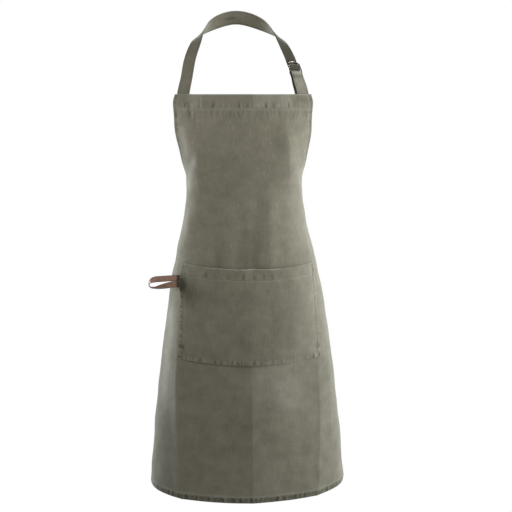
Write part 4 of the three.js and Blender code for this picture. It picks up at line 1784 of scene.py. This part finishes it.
    def profile(self) -> Array:
        """Return a folded strap's section: rolled edges and a shallow groove along each stitch line."""
        across = np.array(self.section)
        heights = self.thickness / 2 - self.groove(across)
        heights[-len(self.rolled) :] *= self.rolled
        return closed_section(np.stack([across, heights], axis=1), np.array([[self.width / 2, 0.0]]))

    def strap_stations(self) -> Stations:
        """Return stations of the whole strap, from the left corner to its free end."""
        left_way = self.left[0]
        distances = spread(left_way.length, 0, int(left_way.length / self.step))
        rows = [(left_way.along(at)[0], self.edge_at(self.left, at)) for at in distances]
        right_way = self.right[0]
        last = self.slider_at - WEAVE[0][0]
        for at in spread(0, last, int(last / self.step))[1:-1]:
            rows.append((right_way.along(at)[0], self.edge_at(self.right, at)))
        free_end = (-(self.slider_from_root + self.free_past_bib), WEAVE[-1][1])
        weave = Way(np.array([*WEAVE, free_end], float))
        for at in spread(0, weave.length, int(weave.length / self.weave_step)):
            along, out = weave.along(at)[0]
            sideways = float(smoothstep(-along, -self.lower, self.free_drift_over - self.lower))
            rows.append(self.beside_slider(along, out, -self.free_drift * sideways))
        return Stations.of(rows)

    def painted_strap_shade(self, stations: Stations) -> Array:
        """Return the painted shade of each station: the right strap above the slider, where it dives behind
        the bars, and a little on the left strap.
        """
        places = stations.places
        right = smoothstep(places[:, 0], *self.dark_from)
        below = (self.centre - places) @ self.up
        near = np.linalg.norm(places - self.centre, axis=1) < self.straight_beyond
        dive = self.dive * smoothstep(below, *self.dive_from) * near
        left = self.left_dark * smoothstep(-places[:, 0], *self.dark_from)
        return left + np.maximum(self.dark * right * smoothstep(places[:, 2], *self.dark_above), dive)

    def neck_dash(self, stations: Stations, profile: Array) -> Array:
        """Return the short dark line along the middle of the strap behind the neck."""
        inside = between(stations.places[:, 0], self.dash_rise, self.dash_fall)
        return inside[:, None] * self.dash(profile[:, 0])

    def tab_shades(self, stations: Stations, seam: Array, wear_and_painted_light: Array) -> dict[str, Array]:
        """Return the tab's painted shade and wear: a painted highlight on the rib where it leaves the bar,
        painted shade in a band below it and on the ply behind the bar.

        Args:
            stations: Stations of the tab.
            seam: Painted shade along the seams, for each profile point.
            wear_and_painted_light: Wear for each profile point.

        Returns:
            Values for the painted shade and for the wear and painted light.
        """
        along = stations.distances()
        below = (along - along[-1] / 2)[:, None]
        behind = self.dark * (below < 0)
        painted_shade = np.clip(seam + self.tab_shade(below) + behind + self.tab_pinch, 0, self.painted_shade_most)
        return {"painted_shade": painted_shade, "wear_and_painted_light": np.clip(wear_and_painted_light + self.tab_highlight(below) + self.tab_wear, 0, 1)}

    def tab_stations(self) -> Stations:
        """Return stations of the tab, up behind the slider's lower bar and down in front of it."""
        ply = (self.thickness + GAP) / 2
        wrap = self.bar / 2 + GAP + self.thickness / 2
        end = -(self.slider_from_root + self.tuck)
        straight = spread(end, self.lower - self.tab_parting, self.tab_steps)
        turn = np.radians(spread(*self.tab_wrap, self.wrap_steps))
        rows = [(along, -ply) for along in straight]
        rows += [(self.lower + wrap * math.sin(a), wrap * math.cos(a)) for a in turn]
        rows += [(along, ply) for along in straight[::-1]]
        return Stations.of([self.beside_slider(along, out) for along, out in rows])

    def slider_outline(self) -> list[Array]:
        """Return the slider's outline and its two openings, as flat points across and up."""
        half = self.opening / 2
        outside = half + self.bar
        top, bottom = self.upper + self.bar / 2, self.lower - self.bar / 2
        inset = self.bar / 2

        def arc(start: Pair, mid: Pair, end: Pair, steps: int = self.corner_steps) -> Array:
            """Return a quadratic arc."""
            t = spread(0, 1, steps)[:, None]
            first, second, third = (np.array(p, float) for p in (start, mid, end))
            return first * (1 - t) ** 2 + 2 * second * t * (1 - t) + third * t**2

        c = self.corner
        low_corner = arc((outside - c, bottom), (outside, bottom), (outside, bottom + c))
        right = np.concatenate([low_corner, arc((outside, top - c), (outside, top), (outside - c, top))])
        bow = arc((outside - c, top), (0, top + 2 * self.bow), (c - outside, top), self.bow_steps)
        outline = np.concatenate([right, bow[1:-1], right[::-1] * (-1, 1)])
        high = self.upper - inset
        bowed = arc((half, high), (0, high + 2 * self.bow), (-half, high), self.bow_steps)
        upper_hole = np.concatenate([[[-half, inset], [half, inset]], bowed])
        low = self.lower + inset
        lower_hole = np.array([[-half, low], [half, low], [half, -inset], [-half, -inset]])
        return [outline, upper_hole, lower_hole]

    def slider_piece(self, metal: Material) -> Piece:
        """Return the slider, a frame of bars with rounded edges.

        Args:
            metal: Its finish.

        Returns:
            The new object.
        """
        curve = bpy.data.curves.new("slider_outline", "CURVE")
        curve.dimensions = "2D"
        curve.fill_mode = "BOTH"
        curve.extrude = (self.bar / 2 - self.bevel) * MM
        curve.bevel_depth = self.bevel * MM
        curve.bevel_resolution = self.bevel_steps
        curve.offset = -self.bevel * MM
        for points in self.slider_outline():
            spline = curve.splines.new("POLY")
            spline.points.add(len(points) - 1)
            flat = np.pad(points * MM, ((0, 0), (0, 2)))
            flat[:, 3] = 1
            spline.points.foreach_set("co", flat.ravel())
            spline.use_cyclic_u = True
        maker = added("slider_outline", curve)
        evaluated = maker.evaluated_get(bpy.context.evaluated_depsgraph_get())
        mesh = bpy.data.meshes.new_from_object(evaluated)
        bpy.data.objects.remove(maker)
        self.painted_highlight(mesh)
        seat = np.eye(4)
        seat[:3, 0], seat[:3, 1], seat[:3, 2] = self.across, self.up, self.front
        seat[:3, 3] = self.centre * MM
        mesh.transform(Matrix(seat.tolist()))
        mesh.materials.clear()
        mesh.materials.append(metal)
        mesh.shade_smooth()
        return added("slider_metal", mesh)

    def painted_highlight(self, mesh: bpy.types.Mesh) -> None:
        """Mark the upper left of the slider's bow for a painted highlight, in a number stored on the mesh."""
        points = np.empty(3 * len(mesh.vertices))
        mesh.vertices.foreach_get("co", points)
        across, up = points.reshape(-1, 3)[:, :2].T / MM
        painted_glint = smoothstep(up, *self.glint_above) * (1 - smoothstep(across, *self.glint_left))
        made = mesh.attributes.new("painted_highlight", "FLOAT", "POINT")
        made.data.foreach_set("value", painted_glint)

    def strap_lines(self, stations: Stations, skip: tuple[int, int] | None = None) -> list[StitchLine]:
        """Return stitch lines along both edges of a strap, on both faces.

        Args:
            stations: Stations of the strap.
            skip: First and last station to leave out, where it turns too sharply to sew.

        Returns:
            The stitch lines.
        """
        lines = []
        parts = [slice(None)] if skip is None else [slice(skip[0]), slice(skip[1], None)]
        face = self.thickness / 2 - self.stitch_sink
        for across in (-self.seam_across, self.seam_across):
            for out in (face, -face):
                places, normals = stations.line(across, out)
                lines += [StitchLine(places[part], normals[part]) for part in parts]
        return lines

    def root_boxes(self, body: BodyCloth) -> list[StitchLine]:
        """Return the stitched box that holds each end to the bib's hem."""
        lines = []
        for side in Side:
            left, right = (side.value * (self.root_across + at) for at in (-self.root_half, self.root_half))
            top, low = self.root_drops
            corners = [(left, top), (right, top), (right, low), (left, low), (left, top)]
            lines.append(body.line(*stretches(corners, self.root_steps), STITCH_PROUD))
        return lines

    def build(self, finishes: Finishes, body: BodyCloth) -> None:
        """Make the strap, tab, slider and their stitches.

        Args:
            finishes: Materials to dress them in.
            body: Body that the ends are sewn to.
        """
        profile = self.profile()
        beside = np.abs(profile[:, 0])
        wear_and_painted_light, seam = self.edge_wear(self.width / 2 - beside), self.seam_shade(beside)
        strap_stations, tab_stations = self.strap_stations(), self.tab_stations()
        # Painted shade along the strap
        painted_strap_shade = self.painted_strap_shade(strap_stations)[:, None]
        painted_shade = np.clip(seam + painted_strap_shade + self.neck_dash(strap_stations, profile), 0, self.painted_shade_most)
        strap_values = {"painted_shade": painted_shade, "wear_and_painted_light": wear_and_painted_light * (1 - painted_strap_shade)}
        strap = strap_stations.strip(profile, strap_values).object("strap_cloth", finishes.canvas)
        finished(strap, "neck_strap")
        tab_values = self.tab_shades(tab_stations, seam, wear_and_painted_light)
        tab = tab_stations.strip(profile, tab_values).object("tab_cloth", finishes.canvas)
        finished(tab, "strap_tab")
        finished(self.slider_piece(finishes.metal), "strap_slider")
        lines = self.strap_lines(strap_stations) + self.strap_lines(tab_stations, self.tab_unsewn)
        lines += self.root_boxes(body)
        stitches = finished(StitchTree().sew("strap_stitches", lines, finishes.thread))
        strap_flat, tab_flat = strap_stations.flat(self.width), tab_stations.flat(self.width)


@dataclass(frozen=True)
class LoopRow:
    """Point of the leather loop's way: out from its caught end, rise, and how flat it lies to the front."""

    out: float
    rise: float
    flat: float


LOOP_WAY = (
    LoopRow(0, 7.0, 90),
    LoopRow(14, 7.0, 88),
    LoopRow(32, 7.0, 82),
    LoopRow(52, 7.7, 85),
    LoopRow(70, 8.2, 78),
    LoopRow(78.5, 6.0, 54),
    LoopRow(82, -0.6, 24),
    LoopRow(79, -7.0, 12),
    LoopRow(68, -9.8, 13),
    LoopRow(50, -8.7, 46),
    LoopRow(31, -7.0, 76),
    LoopRow(14, -7.0, 87),
    LoopRow(0, -7.0, 90),
)


@dataclass
class LeatherLoop:
    """Towel loop: a narrow leather strip out of the pocket's seam, round, and back into the seam below."""

    clear: float = 4
    heading: float = 20
    sag: float = 8
    # Caught ends painted near black as shadow, where they go under the pocket's seam
    dark: float = 0.95
    dark_root: Pair = (18, 22.5)
    section: Row = (0, 1.6, 3.2, 4.6, 5.4, 5.9, 6.3)
    rounding: Row = (1, 1, 1, 0.99, 0.95, 0.86, 0.6)
    cut_half: float = 0.3
    rim_from: Pair = (5.2, 6.4)
    steps: int = 150

    def stations(self, pocket: PocketCloth) -> Stations:
        """Return the strip's stations.

        Args:
            pocket: Pocket whose left seam catches the ends.

        Returns:
            Stations from the upper end to the lower end.
        """
        seat = LOOP_SEAT
        seam = -pocket.width / 2
        down = float(pocket.down(np.array(seam), np.array(seat.below)))
        rise = FACET_GAP + seat.thickness / 2
        root = CLOTH_SHAPE.off(seam + seat.caught, down, rise)
        along = unit(CLOTH_SHAPE.off(seam, down, rise) - root)
        above, under = (CLOTH_SHAPE.place(seam, down + step) for step in (-seat.width, seat.width))
        upright = unit(above - under)
        turn = math.radians(self.heading)
        aim = np.array([-math.cos(turn), math.sin(turn), 0])
        reach = max(row.out for row in LOOP_WAY)
        bend = root + (seat.caught + self.clear) * along
        tip = bend + (reach - seat.caught - self.clear) * aim - self.sag * upright
        spine = Way(np.array([root, root + seat.caught * along, bend, bend + seat.caught * aim, tip]))
        way = Way(np.array([(row.out, row.rise, row.flat / RIGHT_ANGLE) for row in LOOP_WAY]))
        rows = way.along(spread(0, way.length, self.steps))
        places = spine.along(np.minimum(1, rows[:, 0] / reach) * spine.length) + rows[:, 1:2] * upright
        front = unit(np.cross(upright, aim))
        outward = unit(np.cross(runs(places), front))
        angle = (math.pi / 2 * np.clip(rows[:, 2], 0, 1))[:, None]
        return Stations.along(places, outward * np.sin(angle) - front * np.cos(angle))

    def profile(self) -> Array:
        """Return the strip's section, with cut and burnished edges."""
        half, thick = LOOP_SEAT.width / 2, LOOP_SEAT.thickness / 2
        right = np.stack([self.section, thick * np.array(self.rounding)], axis=1)
        return closed_section(right, np.array([[half, self.cut_half], [half, -self.cut_half]]))

    def build(self, finishes: Finishes, pocket: PocketCloth) -> None:
        """Make the loop.

        Args:
            finishes: Materials to dress it in.
            pocket: Pocket that holds it.
        """
        stations = self.stations(pocket)
        profile = self.profile()
        along = stations.distances()
        # Painted shadow on the last stretch at each end
        caught = self.dark * (1 - smoothstep(np.minimum(along, along[-1] - along), *self.dark_root))
        rim = smoothstep(np.abs(profile[:, 0]), *self.rim_from)
        values = {"rim": rim, "caught": caught[:, None] * np.ones(len(profile))}
        loop = stations.strip(profile, values).object("loop_leather", finishes.leather)
        finished(loop, "leather_loop")
        flat = stations.flat(LOOP_SEAT.width)


COOL = (0.92, 0.97, 1.0)


@dataclass(frozen=True)
class Lamp:
    """Soft box of the studio: angles in degrees from the front and above level, size in metres, power."""

    name: str
    azimuth: float
    height: float
    size: Pair
    watts: float
    distance: float = 2.6
    target: Triple = (0, -0.12, -0.55)
    colour: Colour = (1, 1, 1)

    def hang(self) -> None:
        """Add the light."""
        data = bpy.data.lights.new(self.name, "AREA")
        data.shape = "RECTANGLE"
        data.size, data.size_y = self.size
        data.energy = self.watts
        data.color = self.colour
        lamp = added(self.name, data)
        turn, lift = math.radians(self.azimuth), math.radians(self.height)
        level = math.cos(lift)
        away = Vector((math.sin(turn) * level, -math.cos(turn) * level, math.sin(lift)))
        lamp.location = Vector(self.target) + self.distance * away
        lamp.rotation_euler = (-away).to_track_quat("-Z", "Y").to_euler()
        lamp.visible_camera = False


@dataclass
class Studio:
    """White surround, pale floor, soft light and the photograph's camera."""

    eye: Triple = (-0.21625, -3.25745, -0.166)
    heading: float = -4.423
    pitch: float = 6.26
    focal_pixels: float = 1476
    frame_pixels: float = 512
    sensor: float = 36
    farthest: float = 50
    floor_height: float = -1.62
    floor_half: float = 1.5
    floor_colour: Colour = (0.86, 0.86, 0.85)
    floor_roughness: float = 0.9
    white: Colour = (1, 1, 1)
    ambient: float = 0.18
    lamps: tuple[Lamp, ...] = (
        Lamp("right_wide", 90, 5, (0.9, 2.2), 74, colour=COOL),
        Lamp("right_front", 65, 5, (0.9, 2.2), 11),
        Lamp("front_low", 0, -25, (1.2, 0.8), 7.7),
        Lamp("back_left", -130, 5, (0.9, 2.2), 19, colour=COOL),
        Lamp("front_high", 0, 40, (0.8, 0.8), 5.1, 1.5, (0, -0.15, -0.25)),
        Lamp("chest_left", -60, 15, (0.35, 0.35), 3.3, 0.75, (-0.12, -0.1, -0.28)),
        Lamp("chest_right", 60, 15, (0.35, 0.35), 3.1, 0.75, (0.12, -0.1, -0.28)),
        Lamp("rim_left", -140, 10, (0.5, 0.5), 24, 1.3, (-0.1, -0.1, -0.3), COOL),
        Lamp("rim_right", 140, 10, (0.5, 0.5), 19, 1.3, (0.1, -0.1, -0.3), COOL),
    )

    def camera(self) -> None:
        """Set up the camera."""
        data = bpy.data.cameras.new("photo_camera")
        data.sensor_width = self.sensor
        data.lens = self.sensor * self.focal_pixels / self.frame_pixels
        data.clip_end = self.farthest
        camera = added("photo_camera", data)
        camera.location = self.eye
        camera.rotation_euler = (math.radians(RIGHT_ANGLE - self.pitch), 0, math.radians(self.heading))
        bpy.context.scene.camera = camera

    def surround(self) -> None:
        """Make the surround white to the camera and dimmer as a light."""
        world = bpy.data.worlds.new("studio")
        bpy.context.scene.world = world
        world.use_nodes = True
        nodes, links = world.node_tree.nodes, world.node_tree.links
        lit = nodes["Background"]
        lit.inputs["Strength"].default_value = self.ambient
        seen = nodes.new("ShaderNodeBackground")
        for background in (lit, seen):
            background.inputs["Color"].default_value = (*self.white, 1)
        path, mix = nodes.new("ShaderNodeLightPath"), nodes.new("ShaderNodeMixShader")
        links.new(path.outputs["Is Camera Ray"], mix.inputs[0])
        links.new(lit.outputs[0], mix.inputs[1])
        links.new(seen.outputs[0], mix.inputs[2])
        links.new(mix.outputs[0], nodes["World Output"].inputs["Surface"])

    def floor(self) -> None:
        """Lay a pale floor below the hem."""
        tree = ShaderTree("pale_floor")
        material = tree.dress(Base_Color=(*self.floor_colour, 1), Roughness=self.floor_roughness)
        half = self.floor_half
        mesh = bpy.data.meshes.new("studio_floor")
        corners = [(-half, -half), (half, -half), (half, half), (-half, half)]
        mesh.from_pydata([(x, y, self.floor_height) for x, y in corners], [], [(0, 1, 2, 3)])
        mesh.materials.append(material)
        added("studio_floor", mesh)

    def build(self) -> None:
        """Set the view transform and make everything around the apron."""
        bpy.context.scene.view_settings.view_transform = "Standard"
        self.camera()
        self.surround()
        self.floor()
        for lamp in self.lamps:
            lamp.hang()


def main() -> None:
    """Build the studio and then each sub-assembly."""
    logging.basicConfig(level=logging.INFO, format="%(name)s: %(message)s")
    Studio().build()
    finishes = Finishes()
    body, pocket = BodyCloth(), PocketCloth()
    body.build(finishes)
    pocket.build(finishes)
    NeckStrap().build(finishes, body)
    LeatherLoop().build(finishes, pocket)


if __name__ == "__main__":
    main()
